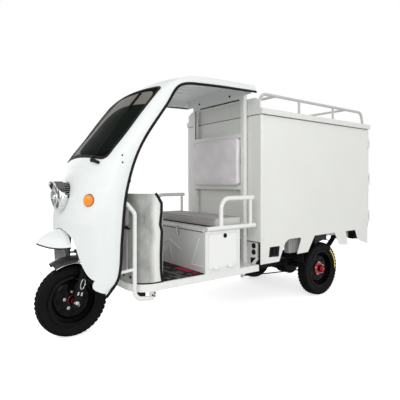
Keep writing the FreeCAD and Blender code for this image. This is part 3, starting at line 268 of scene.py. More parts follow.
def metal(name, slotName, colour, rough=0.2):
    material, shader, where = newFinish(name, slotName, Metallic=1.0)
    streak = where.stretch((1, 6, 1)).noise(60, 4)
    wire(shader, Base_Color=streak.blend([c * 0.9 for c in colour], colour))
    wire(shader, Roughness=streak.span(0.3, 0.7, rough * 0.7, rough * 1.4))
    return material


hoodEdges = {"above": 0.994, "behind": 1.497}


def lampChrome(name):  # plated bowl, and a painted dark reflection on the hood's outside up to its bright lip
    material, shader, where = newFinish(name, "chrome", Metallic=1.0)
    # painted reflection: the hood's top is coloured dark where the plating would mirror dark surroundings
    hood = (where.part("Z") > hoodEdges["above"]) * (where.part("X") < hoodEdges["behind"])
    wire(shader, Base_Color=hood.blend((0.80, 0.81, 0.82), (0.13, 0.13, 0.135)))
    wire(shader, Roughness=where.noise(60, 4).span(0.3, 0.7, 0.05, 0.10))
    return material


def lens(name, slotName, colour, scale=90.0, dark=None):
    # moulded lens: fine cells behind the face, and, when dark is given, dark patches painted in for the
    # plated bowl's reflections showing through
    material, shader, where = newFinish(name, slotName, Roughness=0.15, Coat_Weight=0.3, Coat_Roughness=0.03)
    ribs = where.cells(scale)
    face = ribs.span(0, 0.6).blend([min(1, c * 1.5) for c in colour], colour)
    if dark:
        # painted reflection: dark patches for the bowl's reflections seen through the lens
        face = where.stretch((1, 1, 0.6)).noise(26, 2, 0.6).span(0.44, 0.54).blend(dark, face)
    wire(shader, Base_Color=face)
    wire(shader, Normal=ribs.bump(0.0015))
    return material


def leatherette(name, slotName, colour, ends):  # embossed vinyl, lighter towards both ends past a given half-width
    material, shader, where = newFinish(name, slotName, Specular_IOR_Level=0.4)
    creases = where.cells(260)
    worn = where.noise(5, 4, 0.6)
    side = where.part("Y").maths("ABSOLUTE").span(ends, ends + 0.006)
    shade = worn.span(0.3, 0.7).blend([c * 0.88 for c in colour], [c * 1.08 for c in colour])
    wire(shader, Base_Color=side.blend(shade, (0.62, 0.61, 0.60)))
    wire(shader, Roughness=worn.span(0.3, 0.7, 0.42, 0.6))
    wire(shader, Normal=(creases + where.noise(35, 3)).bump(0.0006))
    return material


matSizes = {"rib": 0.012, "swirls": (0.645, 0.86), "stripe": (0.575, 0.632), "stripeAcross": (0.05, 0.43)}


def within(signal, low, high):
    return (signal > low) * (signal < high)


def matting(name, slotName):  # ribbed floor mat: black, with pale swirls and a red stripe by the seat box
    sizes = matSizes
    material, shader, where = newFinish(name, slotName, Roughness=0.8, Specular_IOR_Level=0.2)
    along = where.part("X")
    ribs = (along * 2 * math.pi / sizes["rib"]).maths("SINE")
    swirl = where.stretch((9, 5, 1)).noise(2.2, 2, 0.5).span(0.52, 0.56)
    stripe = within(along, *sizes["stripe"]) * within(where.part("Y"), *sizes["stripeAcross"])
    worn = stripe * where.noise(9, 3, 0.6).span(0.42, 0.5)
    shade = (swirl * within(along, *sizes["swirls"])).blend((0.006, 0.006, 0.007), (0.09, 0.09, 0.09))
    wire(shader, Base_Color=worn.blend(shade, (0.42, 0.012, 0.06)))
    wire(shader, Normal=ribs.bump(0.0008))
    return material


# Finishes: name, slot, colour, roughness, then peel, dust, clear coat, the dust's heights and shine
shellWhite = paint("shellWhite", "white_shell", (0.735, 0.765, 0.755), 0.34, 0.00003, 0.0, 0.12, 0.25, 0.7)
frameWhite = paint("frameWhite", "white_paint", (0.78, 0.79, 0.77), 0.3, 0.00008, 0.05, 0.2, 0.2, 0.5)
boxWhite = paint("boxWhite", "white_paint", (0.77, 0.78, 0.745), 0.36, 0.00008, 0.10, 0.1, 0.4, 0.85)
sheetGrey = paint("sheetGrey", "grey_paint", (0.76, 0.78, 0.76), 0.34, 0.00008, 0.05, 0.2, 0.3, 0.6)
shieldGrey = shieldPaint("shieldGrey", "grey_paint")
satinBlack = paint("satinBlack", "black_paint", (0.005, 0.005, 0.006), 0.4, 0.0001, 0.06, 0.0, 0.0, 0.9, 0.15)
glossBlack = paint("glossBlack", "black_paint", (0.003, 0.003, 0.004), 0.14, 0.00003, 0.02, 0.08, 0.0, 0.6,
                   0.09)
hubRed = paint("hubRed", "black_paint", (0.50, 0.006, 0.02), 0.28, 0.00006, 0.1, 0.2, 0.0, 0.6)
yellowPaint = paint("yellowPaint", "tyre", (0.74, 0.64, 0.18), 0.5, 0.00006, 0.2, 0.0, 0.0, 0.6)
darkPlastic = paint("darkPlastic", "dark_plastic", (0.012, 0.012, 0.013), 0.42, 0.0003, 0.12, 0.0, 0.0, 0.9,
                    0.25)
guardGrey = paint("guardGrey", "dark_plastic", (0.040, 0.040, 0.043), 0.30, 0.0002, 0.08, 0.1, 0.0, 0.9, 0.5)
# painted light: a lighter copy of the box's white, for the hatch on the lit side face
hatchLitWhite = paint("hatchLitWhite", "white_paint", (0.83, 0.84, 0.82), 0.35, 0.00006)
# painted shade: a darker copy of the box's white for the roof edge's shading
roofShadedPaint = paint("roofShadedPaint", "white_paint", (0.73, 0.74, 0.71), 0.36, 0.00008, 0.10, 0.1, 0.4, 0.85)
# painted shade: the rack's light grey-white painted darker to match its shading
rackShadedPaint = paint("rackShadedPaint", "white_paint", (0.50, 0.505, 0.49), 0.35, 0.00006, 0.05, 0.1, 0.0, 0.4)
controlGrey = paint("controlGrey", "dark_plastic", (0.36, 0.36, 0.35), 0.4, 0.0001, 0.15, 0.0, 0.0, 0.9)
tintedGlass = screenGlass("tintedGlass")
trimRubber = rubber("trimRubber", "rubber")
tyreRubber = rubber("tyreRubber", "tyre", 0.0035, 0.62, 0.04)
chrome = metal("brightChrome", "chrome", (0.80, 0.81, 0.82), 0.07)
bowlChrome = lampChrome("bowlChrome")
zinc = metal("zinc", "chrome", (0.66, 0.64, 0.62), 0.28)
clearLens = lens("clearLens", "chrome", (0.46, 0.49, 0.49), 60.0, (0.045, 0.050, 0.050))
amberLens = lens("amberLens", "amber_lens", (0.86, 0.23, 0.0))
redLens = lens("redLens", "red_lens", (0.55, 0.01, 0.01))
vinyl = leatherette("seatVinyl", "vinyl", (0.375, 0.355, 0.35), 0.418)
backVinyl = leatherette("backVinyl", "vinyl", (0.81, 0.775, 0.795), 0.9)
matRubber = matting("matRubber", "floor_rubber")

finishes = {
    shellWhite: "cab_shell beak",
    frameWhite: "chassis_frame guard_hoops armrests partition_frame seat_lid door_hinges floor_pan",
    boxWhite: "cargo_sides cargo_front_wall cargo_door_left cargo_door_right",
    sheetGrey: "seat_box cargo_floor",
    hatchLitWhite: "seat_hatch",
    shieldGrey: "leg_shield",
    satinBlack: "fork handlebar head_tube rear_axle leaf_springs brake_pedal brake_rod battery_pack",
    glossBlack: "front_wheel_rim rear_wheel_left_rim rear_wheel_right_rim",
    darkPlastic: "rear_mudguards dashboard",
    guardGrey: "front_mudguard",
    roofShadedPaint: "cargo_roof",
    rackShadedPaint: "roof_rack",
    tintedGlass: "windscreen",
    trimRubber: "cab_seal wiper",
    tyreRubber: "front_wheel_tyre rear_wheel_left_tyre rear_wheel_right_tyre",
    bowlChrome: "headlamp",
    amberLens: "indicators",
    redLens: "tail_lamps",
    vinyl: "seat_cushion",
    backVinyl: "partition_panel",
    matRubber: "floor_mat",
}


def dress(table):
    for material, names in table.items():
        for name in names.split():
            mesh = nodes[name].data
            mesh.materials.clear()
            mesh.materials.append(material)


dress(finishes)
print("nodes painted")


def turnTo(axis):  # rotation that takes Z to an axis
    return Vector(axis).to_track_quat("Z", "Y").to_matrix()


class Form:  # closed shapes gathered in one mesh, in metres in the frame
    def __init__(self):
        self.mesh = bmesh.new()

    def rings(self, rows, loop=False):  # skins closed rows of points, with ends capped unless looped
        made = [[self.mesh.verts.new(p) for p in row] for row in rows]
        pairs = list(zip(made, made[1:]))
        if loop:
            pairs.append((made[-1], made[0]))
        for a, b in pairs:
            for i in range(len(a)):
                j = (i + 1) % len(a)
                self.mesh.faces.new((a[i], a[j], b[j], b[i]))
        if not loop:
            self.mesh.faces.new(made[0][::-1])
            self.mesh.faces.new(made[-1])
        return made

    def block(self, low, high, bevel=0.002):  # a box with eased edges
        corners = [(low[0], low[1]), (high[0], low[1]), (high[0], high[1]), (low[0], high[1])]
        made = self.rings([[(x, y, z) for x, y in corners] for z in (low[2], high[2])])
        if bevel:
            edges = list({e for row in made for v in row for e in v.link_edges})
            bmesh.ops.bevel(self.mesh, geom=edges, offset=bevel, segments=2, affect="EDGES", profile=0.5)
        return self

    def brick(self, centre, size, bevel):  # a box of a size round a point
        half = Vector(size) / 2
        return self.block(Vector(centre) - half, Vector(centre) + half, bevel)

    def turned(self, profile, at, axis, steps=48, loop=False):
        # circles of (radius, place along the axis), skinned in turn
        turn = turnTo(axis)
        rows = []
        for radius, along in profile:
            row = []
            for k in range(steps):
                angle = 2 * math.pi * k / steps
                spot = Vector((radius * math.cos(angle), radius * math.sin(angle), along))
                row.append(Vector(at) + turn @ spot)
            rows.append(row)
        self.rings(rows, loop)
        return self

    def rod(self, start, end, radius, steps=20, ease=0.15):
        axis = Vector(end) - Vector(start)
        lip = radius * ease
        profile = [(radius - lip, 0), (radius, lip), (radius, axis.length - lip), (radius - lip, axis.length)]
        return self.turned(profile, start, axis, steps)

    def sweep(self, points, radius, sides=12, loop=False):
        # a tube along points; radius may be a list
        points = [Vector(p) for p in points]
        count = len(points)
        radii = radius if isinstance(radius, (list, tuple)) else [radius] * count
        rows = []
        side = None
        for i, point in enumerate(points):
            ahead = points[(i + 1) % count] if loop or i < count - 1 else point
            behind = points[i - 1] if loop or i else point
            along = (ahead - behind).normalized()
            if side is None:
                side = along.orthogonal().normalized()
            side = (side - along * side.dot(along)).normalized()
            rise = along.cross(side)
            row = []
            for k in range(sides):
                angle = 2 * math.pi * k / sides
                row.append(point + (side * math.cos(angle) + rise * math.sin(angle)) * radii[i])
            rows.append(row)
        self.rings(rows, loop)
        return self

    def ribbon(self, points, normals, wide, thick, loop=False):
        # a strip lying on a surface: points on it, its directions, and the strip's width and thickness
        points = [Vector(p) for p in points]
        count = len(points)
        rows = []
        for i, point in enumerate(points):
            ahead = points[(i + 1) % count] if loop or i < count - 1 else point
            behind = points[i - 1] if loop or i else point
            normal = Vector(normals[i])
            across = (ahead - behind).cross(normal).normalized() * (wide / 2)
            rise = normal.normalized() * thick
            rows.append([point + across * a + rise * r
                         for a, r in ((-1, -0.3), (-1, 0.5), (-0.75, 1), (0.75, 1), (1, 0.5), (1, -0.3))])
        self.rings(rows, loop)
        return self

    def moved(self, place):
        bmesh.ops.transform(self.mesh, matrix=place, verts=self.mesh.verts)
        return self

    def add(self, other, place=None):  # takes in another form, moved by a matrix
        data = other.data("spare")
        if place:
            data.transform(place)
        self.mesh.from_mesh(data)
        bpy.data.meshes.remove(data)
        return self

    def data(self, name):
        bmesh.ops.recalc_face_normals(self.mesh, faces=self.mesh.faces)
        data = bpy.data.meshes.new(name)
        self.mesh.to_mesh(data)
        return data

    def done(self, name, material, body, replaced=(), smooth=38):
        data = self.data(name)
        self.mesh.free()
        data.materials.clear()
        data.materials.append(material)
        data.shade_smooth()
        data.set_sharp_from_angle(angle=math.radians(smooth))
        piece = bpy.data.objects.new(name, data)
        scene.collection.objects.link(piece)
        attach(piece, body)
        if replaced:
            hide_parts(*replaced)
        return piece


def rounded(points, bend, steps=6):  # a run of points with its corners turned on a radius
    points = [Vector(p) for p in points]
    run = [points[0]]
    for before, corner, after in zip(points, points[1:], points[2:]):
        back = (before - corner).normalized()
        ahead = (after - corner).normalized()
        half = math.acos(max(-1, min(1, back.dot(ahead)))) / 2
        reach = min(bend / math.tan(half), (before - corner).length * 0.49, (after - corner).length * 0.49)
        start = corner + back * reach
        end = corner + ahead * reach
        for k in range(steps + 1):
            t = k / steps
            run.append(start * (1 - t) ** 2 + corner * 2 * t * (1 - t) + end * t ** 2)
    run.append(points[-1])
    return run


def repeatTree():
    # Geometry Nodes: copies of a mesh, each turned and shifted on from the last, made real
    tree = bpy.data.node_groups.new("repeat", "GeometryNodeTree")
    keys = {}
    tree.interface.new_socket("Mesh", in_out="INPUT", socket_type="NodeSocketGeometry")
    for name, kind in (("Count", "Int"), ("Shift", "Vector"), ("Turn", "Vector"), ("Material", "Material")):
        made = tree.interface.new_socket(name, in_out="INPUT", socket_type=f"NodeSocket{kind}")
        keys[name] = made.identifier
    tree.interface.new_socket("Mesh", in_out="OUTPUT", socket_type="NodeSocketGeometry")
    given = tree.nodes.new("NodeGroupInput")
    out = tree.nodes.new("NodeGroupOutput")
    line = tree.nodes.new("GeometryNodeMeshLine")
    index = tree.nodes.new("GeometryNodeInputIndex")
    scale = tree.nodes.new("ShaderNodeVectorMath")
    scale.operation = "SCALE"
    turn = tree.nodes.new("FunctionNodeEulerToRotation")
    copies = tree.nodes.new("GeometryNodeInstanceOnPoints")
    real = tree.nodes.new("GeometryNodeRealizeInstances")
    coat = tree.nodes.new("GeometryNodeSetMaterial")
    for source, target in (
        (given.outputs["Count"], line.inputs["Count"]),
        (given.outputs["Shift"], line.inputs["Offset"]),
        (given.outputs["Turn"], scale.inputs[0]),
        (index.outputs[0], scale.inputs["Scale"]),
        (scale.outputs[0], turn.inputs[0]),
        (line.outputs[0], copies.inputs["Points"]),
        (given.outputs["Mesh"], copies.inputs["Instance"]),
        (turn.outputs[0], copies.inputs["Rotation"]),
        (copies.outputs[0], real.inputs[0]),
        (real.outputs[0], coat.inputs["Geometry"]),
        (given.outputs["Material"], coat.inputs["Material"]),
        (coat.outputs[0], out.inputs[0]),
    ):
        tree.links.new(source, target)
    return tree, keys


repeat, repeatKeys = repeatTree()


def repeated(form, count, material, shift=(0, 0, 0), turn=(0, 0, 0), place=None):
    # a new form holding the copies, put in place by a matrix
    seed = bpy.data.objects.new("seed", form.data("seed"))
    scene.collection.objects.link(seed)
    form.mesh.free()
    modifier = seed.modifiers.new("repeat", "NODES")
    modifier.node_group = repeat
    values = {"Count": count, "Shift": shift, "Turn": turn, "Material": material}
    for name, value in values.items():
        modifier[repeatKeys[name]] = value
    made = bpy.data.meshes.new_from_object(seed.evaluated_get(bpy.context.evaluated_depsgraph_get()))
    if place:
        made.transform(place)
    whole = Form()
    whole.mesh.from_mesh(made)
    bpy.data.objects.remove(seed)
    bpy.data.meshes.remove(made)
    return whole


def middle(node):  # centre of a CAD node's box
    low, high = (Vector(p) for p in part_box(node))
    return (low + high) / 2


# Wheels: tyre with moulded lugs, dressed rim, hub and nuts
wheelSizes = {
    "carcass": [  # radius and distance from the middle plane; mirrored for the inner side
        (0.170, 0.036), (0.176, 0.0425), (0.184, 0.0445), (0.186, 0.0465), (0.190, 0.0465), (0.193, 0.0475),
        (0.207, 0.0495), (0.216, 0.0492), (0.2185, 0.0502), (0.222, 0.0485), (0.230, 0.0445),
        (0.2355, 0.036), (0.239, 0.020), (0.240, 0.0),
    ],
    "lugs": 44,
    "lugHeight": 0.0055,
    "tread": [  # half length, width, skew, place across, radius, lean, phase; mirrored half a step on
        (0.0085, 0.017, 0.55, 0.0095, 0.2395, -0.05, 0.0),
        (0.0095, 0.019, 0.35, 0.0315, 0.2365, -0.26, 0.25),
        (0.0065, 0.012, 0.0, 0.0445, 0.2295, -0.95, 0.6),
    ],
    "lip": [(0.1665, 0), (0.1715, 0), (0.1725, 0.002), (0.170, 0.0035), (0.1665, 0.003)],
    "lipPlace": 0.042,
    "valve": {"angle": 2.2, "ring": 0.150, "foot": 0.006, "long": 0.034, "lean": 0.006, "radius": 0.004},
    "pads": {"count": 8, "ring": 0.094, "radius": 0.014, "thick": 0.0055, "place": 0.0068},
    "bore": 0.0155,
    "nuts": 5,
    "nutTurn": 0.1,
    "nut": [  # profile and number of sides: nut, stud and washer
        ([(0.0085, 0.0185), (0.0085, 0.0255), (0.0065, 0.0275)], 6),
        ([(0.0048, 0.026), (0.0048, 0.034), (0.0038, 0.0352)], 16),
        ([(0.0115, 0.0180), (0.0115, 0.0196)], 20),
    ],
}


def rimWard(angle):  # outward in a wheel's plane; 0 points forward and a quarter turn points up
    return Vector((math.cos(angle), 0, math.sin(angle)))


def lug(half, wide, skew, seat, lean):  # one tread block, pointing out along Z from its seat
    height = wheelSizes["lugHeight"]
    corners = ((-half, -wide / 2), (half, -wide / 2), (half, wide / 2), (-half, wide / 2))
    rows = []
    for rise, shrink in ((-0.003, 1.0), (height - 0.001, 0.93), (height, 0.86)):
        rows.append([Vector((x * shrink + skew * y, y * shrink, rise)) for x, y in corners])
    form = Form()
    form.rings(rows)
    return form.moved(Matrix.Translation(seat) @ Matrix.Rotation(lean, 4, "X"))


def treadedTyre(hub):  # the carcass and six rings of lugs
    sizes = wheelSizes
    outer = sizes["carcass"]
    profile = outer + [(radius, -across) for radius, across in reversed(outer[:-1])]
    tyre = Form().turned(profile, hub, (0, 1, 0), 96, loop=True)
    step = 2 * math.pi / sizes["lugs"]
    for half, wide, skew, across, radius, lean, phase in sizes["tread"]:
        for sign, ahead in ((1, 0.0), (-1, 0.5)):
            block = lug(half, wide, sign * skew, (0, sign * across, radius), sign * lean)
            start = Matrix.Translation(hub) @ Matrix.Rotation((phase + ahead) % 1 * step, 4, "Y")
            tyre.add(repeated(block, sizes["lugs"], tyreRubber, turn=(0, step, 0), place=start))
    return tyre


def dressRim(tag, body, hub, side):  # raised bead ring, the valve, and pressed pads between the vents
    sizes = wheelSizes
    lip = Form().turned(sizes["lip"], hub + side * sizes["lipPlace"], side, 72, loop=True)
    lip.done(f"{tag}_rim_lip", glossBlack, body)
    valve = sizes["valve"]
    outward = rimWard(valve["angle"])
    start = hub + outward * valve["ring"] + side * valve["foot"]
    end = start - outward * valve["lean"] + side * valve["long"]
    Form().rod(start, end, valve["radius"], 12).done(f"{tag}_valve", trimRubber, body)
    pads = sizes["pads"]
    foot = Vector((0, 0, pads["ring"]))
    pad = Form().rod(foot, foot + side * pads["thick"], pads["radius"], 24, 0.35)
    place = Matrix.Translation(hub + side * pads["place"])
    whole = repeated(pad, pads["count"], glossBlack, turn=(0, 2 * math.pi / pads["count"], 0), place=place)
    whole.done(f"{tag}_disc_pads", glossBlack, body)


def dressHub(tag, body, hub, side, red, nutRing):  # painted drum, and the wheel nuts on their studs
    sizes = wheelSizes
    bore = sizes["bore"]
    profile = [(bore, 0.012), (red, 0.012), (red, 0.0175), (red - 0.003, 0.019), (0.0345, 0.021),
               (0.033, 0.040), (0.030, 0.0455), (bore, 0.0462)]
    Form().turned(profile, hub, side, 48, loop=True).done(f"{tag}_hub_red", hubRed, body)
    nut = Form()
    for profile, steps in sizes["nut"]:
        nut.turned(profile, (0, 0, 0), side, steps)
    nut.moved(Matrix.Translation((0, 0, nutRing)))
    place = Matrix.Translation(hub) @ Matrix.Rotation(sizes["nutTurn"], 4, "Y")
    nuts = repeated(nut, sizes["nuts"], zinc, turn=(0, 2 * math.pi / sizes["nuts"], 0), place=place)
    nuts.done(f"{tag}_wheel_nuts", zinc, body)


for name, out, red, nutRing in (  # wheel, side of its nuts, radius of the red drum, radius of the nuts' ring
    ("front_wheel", 1, 0.036, 0.058),
    ("rear_wheel_left", 1, 0.058, 0.054),
    ("rear_wheel_right", -1, 0.058, 0.054),
):
    tag = name.replace("_wheel", "")
    hub = middle(f"{name}_tyre")
    side = Vector((0, out, 0))
    treadedTyre(hub).done(f"{tag}_tyre_treaded", tyreRubber, name, [f"{name}_tyre"])
    dressRim(tag, name, hub, side)
    dressHub(tag, name, hub, side, red, nutRing)

axleNutSizes = {
    "washer": [(0.0145, -0.003), (0.022, -0.003), (0.022, 0.0), (0.0145, 0.0)],
    "nut": [(0.0145, 0.0), (0.019, 0.0), (0.019, 0.011), (0.0145, 0.0125)],
    "spindle": [(0.013, 0.0), (0.013, 0.020), (0.010, 0.0225)],
}


def axleNut(wheel, body, sign, seat, finish):  # washer, nut and spindle end, outside the wheel's hub
    sizes = axleNutSizes
    side = Vector((0, sign, 0))
    start = middle(f"{wheel}_tyre") + side * seat
    form = Form().turned(sizes["washer"], start, side, 32, loop=True)
    form.turned(sizes["nut"], start, side, 6, loop=True)
    form.turned(sizes["spindle"], start, side, 24)
    form.done(f"{wheel}_{'left' if sign > 0 else 'right'}_axle_nut", finish, body)


axleNut("rear_wheel_left", "chassis", 1, 0.0495, hubRed)
axleNut("rear_wheel_right", "chassis", -1, 0.0495, hubRed)
axleNut("front_wheel", "steering", 1, 0.0905, zinc)
axleNut("front_wheel", "steering", -1, 0.0905, zinc)

markSizes = {  # degrees round the tyre; radius and height of the paint's section over the wheel's middle
    "start": 184, "sweep": 56, "steps": 24,
    "section": ((0.200, 0.0465), (0.200, 0.0496), (0.211, 0.0506), (0.211, 0.0475)),
}


def tyreMark():  # painted run-out mark on the rear tyre's sidewall
    sizes = markSizes
    hub = middle("rear_wheel_left_tyre")
    rows = []
    for k in range(sizes["steps"] + 1):
        outward = rimWard(math.radians(sizes["start"] - sizes["sweep"] * k / sizes["steps"]))
        rows.append([hub + outward * radius + Vector((0, lift, 0)) for radius, lift in sizes["section"]])
    form = Form()
    form.rings(rows)
    form.done("tyre_mark", yellowPaint, "rear_wheel_left")


tyreMark()
print("wheels dressed")

# Front fork: gaiters, axle clamps, chrome cable guide and brake hose
forkSizes = {
    "lean": 15, "axleX": 1.366, "axleZ": 0.245, "offset": 0.022, "spread": 0.083,
    "gaiter": {"foot": 0.168, "folds": 8, "pitch": 0.014, "neck": 0.0195, "crest": 0.0255, "root": 0.0205},
    "guide": {"along": 0.128, "tall": 0.034, "wide": 0.014, "wire": 0.0028, "y": 0.112},
    "guidePin": (-0.018, -0.008, 0.004, 0.005),  # ahead, from and to across, and radius
    "guideNuts": {"along": (0.070, 0.058), "ahead": 0.012, "across": (-0.010, 0.006), "radius": 0.0065},
    "clamp": (-0.034, -0.020, 0.021), "clampNut": (-0.030, -0.022, 0.006),  # from, to and radius
    "hoseRadius": 0.0042, "hoseBend": 0.05,
    "hose": [(0.06, 0.016, 0.106), (0.13, 0.018, 0.113), (0.24, 0.010, 0.108), (0.33, -0.01, 0.07),
             (0.40, -0.005, 0.035)],  # up the leg, ahead of the steering axis, and across
}


def onFork(along, out=0.0, y=0.0):  # a point on the fork's slope, from the wheel centre's level
    lean = math.radians(forkSizes["lean"])
    up = Vector((-math.sin(lean), 0, math.cos(lean)))
    ahead = Vector((math.cos(lean), 0, math.sin(lean)))
    base = Vector((forkSizes["axleX"], y, forkSizes["axleZ"]))
    return base + ahead * (out - forkSizes["offset"]) + up * along


def forkLegs():  # folded gaiters on both legs, and the clamps round the axle
    off = forkSizes["offset"]
    sizes = forkSizes["gaiter"]
    profile = [(sizes["neck"], 0.0)]
    for k in range(sizes["folds"]):
        rise = sizes["pitch"] * k
        profile += [(sizes["crest"], rise + 0.006), (sizes["root"], rise + 0.013)]
    profile.append((sizes["neck"], 0.120))
    foot, top, radius = forkSizes["clamp"]
    behind, ahead, nutRadius = forkSizes["clampNut"]
    gaiters = Form()
    clamps = Form()
    for sign in (1, -1):
        y = sign * forkSizes["spread"]
        gaiters.turned(profile, onFork(sizes["foot"], off, y), onFork(1) - onFork(0), 28)
        clamps.rod(onFork(foot, off, y), onFork(top, off, y), radius, 28)
        clamps.rod(onFork(0.0, off + behind, y), onFork(0.0, off + ahead, y), nutRadius, 6)
    gaiters.done("fork_gaiters", trimRubber, "steering")
    clamps.done("fork_feet", satinBlack, "steering")


def forkGuide():  # oblong chrome guide on the left leg, with the hose that runs through it
    off = forkSizes["offset"]
    sizes = forkSizes["guide"]
    y = sizes["y"]
    oblong = []
    for k in range(32):
        angle = 2 * math.pi * k / 32
        along = sizes["along"] + sizes["tall"] * math.sin(angle)
        oblong.append(onFork(along, off - 0.004 + sizes["wide"] * math.cos(angle), y))
    guide = Form().sweep(oblong, sizes["wire"], 10, loop=True)
    ahead, near, far, radius = forkSizes["guidePin"]
    guide.rod(*(onFork(sizes["along"], off + ahead, y + across) for across in (near, far)), radius, 14)
    nuts = forkSizes["guideNuts"]
    for along in nuts["along"]:
        for ahead in (off - nuts["ahead"], off + nuts["ahead"]):
            guide.rod(*(onFork(along, ahead, y + across) for across in nuts["across"]), nuts["radius"], 6)
    guide.done("fork_cable_guide", chrome, "steering")
    run = rounded([onFork(*place) for place in forkSizes["hose"]], forkSizes["hoseBend"])
    Form().sweep(run, forkSizes["hoseRadius"], 10).done("fork_hose", trimRubber, "steering")


forkLegs()
forkGuide()

guardSizes = {
    "from": 61.8, "to": 127.2, "steps": 28, "edge": 0.2615, "half": 0.0605, "bead": 0.0032,
    "bolt": [(0.008, 0), (0.008, 0.004), (0.006, 0.0055)], "bolts": (96, 104), "boltRing": 0.272,
    "boltHalf": 0.0598,
}


def guardTrim():  # bright bead along both lower edges of the front mudguard, and its bolts
    sizes = guardSizes
    hub = middle("front_wheel_tyre")
    bead = Form()
    bolts = Form()
    for sign in (1, -1):
        centre = hub + Vector((0, sign * sizes["half"], 0))
        run = []
        for k in range(sizes["steps"] + 1):
            angle = sizes["from"] + (sizes["to"] - sizes["from"]) * k / sizes["steps"]
            run.append(centre + rimWard(math.radians(angle)) * sizes["edge"])
        bead.sweep(run, sizes["bead"], 10)
        for angle in sizes["bolts"]:
            spot = hub + rimWard(math.radians(angle)) * sizes["boltRing"]
            bolts.turned(sizes["bolt"], spot + Vector((0, sign * sizes["boltHalf"], 0)), (0, sign, 0), 6)
    bead.done("mudguard_bead", chrome, "steering")
    bolts.done("mudguard_bolts", zinc, "steering")


guardTrim()
print("fork dressed")


def onto(node, start, aim):  # where a ray meets a CAD node, and the surface's direction there
    hit, spot, normal, index = nodes[node].ray_cast(Vector(start), Vector(aim).normalized())
    return (spot, normal) if hit else (None, None)


def laid(node, starts, aim, lift):  # points where rays meet a CAD node, lifted off its surface
    met = [onto(node, start, aim) for start in starts]
    return [spot + normal * lift for spot, normal in met if spot]


def fasten(form, profile, steps, node, starts, aim):  # a turned fastener wherever a ray meets a CAD node
    for start in starts:
        spot, normal = onto(node, start, aim)
        form.turned(profile, spot, normal, steps)


# Windscreen: rubber gasket on its edge, found by dropping the opening's outline on the glass
screenSizes = {
    "base": (1.330, 0, 1.212), "up": (-0.642, 0, 0.767), "out": (0.767, 0, 0.642),
    "low": 0.032, "high": 0.689, "lowHalf": 0.364, "highHalf": 0.384, "corner": 0.062, "step": 0.03,
    "gasketWide": 0.022, "gasketThick": 0.005,
}


def screenPoint(y, rise):
    out = Vector(screenSizes["out"])
    foot = Vector(screenSizes["base"]) + Vector((0, y, 0)) + Vector(screenSizes["up"]) * rise
    return onto("windscreen", foot + out * 0.3, -out)


def dressScreen():
    sizes = screenSizes
    low, high = sizes["low"], sizes["high"]
    corners = [(0, low), (sizes["lowHalf"], low), (sizes["highHalf"], high), (-sizes["highHalf"], high),
               (-sizes["lowHalf"], low), (0, low)]
    outline = rounded([(y, rise, 0) for y, rise in corners], sizes["corner"], 8)
    spots = []
    for a, b in zip(outline, outline[1:]):
        count = max(1, round((b - a).length / sizes["step"]))
        for k in range(count):
            point = a.lerp(b, k / count)
            spots.append(screenPoint(point.x, point.y))
    gasket = Form().ribbon([s + n * 0.0005 for s, n in spots], [n for s, n in spots], sizes["gasketWide"],
                           sizes["gasketThick"], loop=True)
    gasket.done("screen_gasket", trimRubber, "chassis")


dressScreen()

wiperSizes = {
    "foot": 0.262, "lean": -0.125, "from": 0.030, "reach": 0.640, "steps": 28,
    "arm": 0.54, "armRadius": 0.0034, "armLift": 0.013,
    "bladeFrom": 0.46, "bladeWide": 0.011, "bladeTall": 0.007, "spine": 0.0062, "spineLift": 0.0095,
    "pod": ((1.6, 0.232, 1.2055), (1.6, 0.322, 1.182)),  # its two ends, ahead of the shell
    "podRadii": [0.0105, 0.0125, 0.0095],
    "knuckle": [(0.016, -0.004), (0.016, 0.006), (0.012, 0.011)],
    "claw": [(0.0062, 0.004), (0.0062, 0.013), (0.004, 0.015)],
    "claws": (0.08, 0.32, 0.62, 0.90),  # shares of the blade's length
}


def dressWiper():  # motor pod on the shell, spring knuckle, thin arm and a blade lying on the glass
    sizes = wiperSizes
    pod = Form()
    (inner, normal), (outer, facing) = (onto("cab_shell", start, (-1, 0, 0)) for start in sizes["pod"])
    run = [inner + normal * 0.008, inner.lerp(outer, 0.45) + normal * 0.010, outer + facing * 0.010]
    pod.sweep(run, sizes["podRadii"], 16)
    pod.turned(sizes["knuckle"], inner, normal, 24)
    arm = [inner + normal * 0.014]
    blade = []
    for k in range(sizes["steps"] + 1):
        rise = sizes["from"] + (sizes["reach"] - sizes["from"]) * k / sizes["steps"]
        spot, out = screenPoint(sizes["foot"] + sizes["lean"] * rise, rise)
        if rise < sizes["arm"]:
            arm.append(spot + out * sizes["armLift"])
        if rise > sizes["bladeFrom"]:
            blade.append((spot, out))
    pod.sweep(arm, sizes["armRadius"], 8)
    pod.sweep([s + n * sizes["spineLift"] for s, n in blade], sizes["spine"], 8)
    foot = [s + n * 0.0005 for s, n in blade]
    pod.ribbon(foot, [n for s, n in blade], sizes["bladeWide"], sizes["bladeTall"])
    for share in sizes["claws"]:
        spot, out = blade[int(share * (len(blade) - 1))]
        pod.turned(sizes["claw"], spot, out, 10)
    pod.done("wiper_arm", trimRubber, "chassis", ["wiper"])


dressWiper()

mirrorSizes = {
    "bolt": [(0.0055, -0.001), (0.0055, 0.0025), (0.0035, 0.0040)],
    "holes": ((1.201, 1.2295), (1.205, 1.184)),  # along and up
}


def mirrorBolts():  # the two bolts that close each mirror mount's holes
    form = Form()
    for sign in (1, -1):
        starts = [(x, sign * 0.7, z) for x, z in mirrorSizes["holes"]]
        fasten(form, mirrorSizes["bolt"], 16, "cab_shell", starts, (0, -sign, 0))
    form.done("mirror_bolts", trimRubber, "chassis")


mirrorBolts()

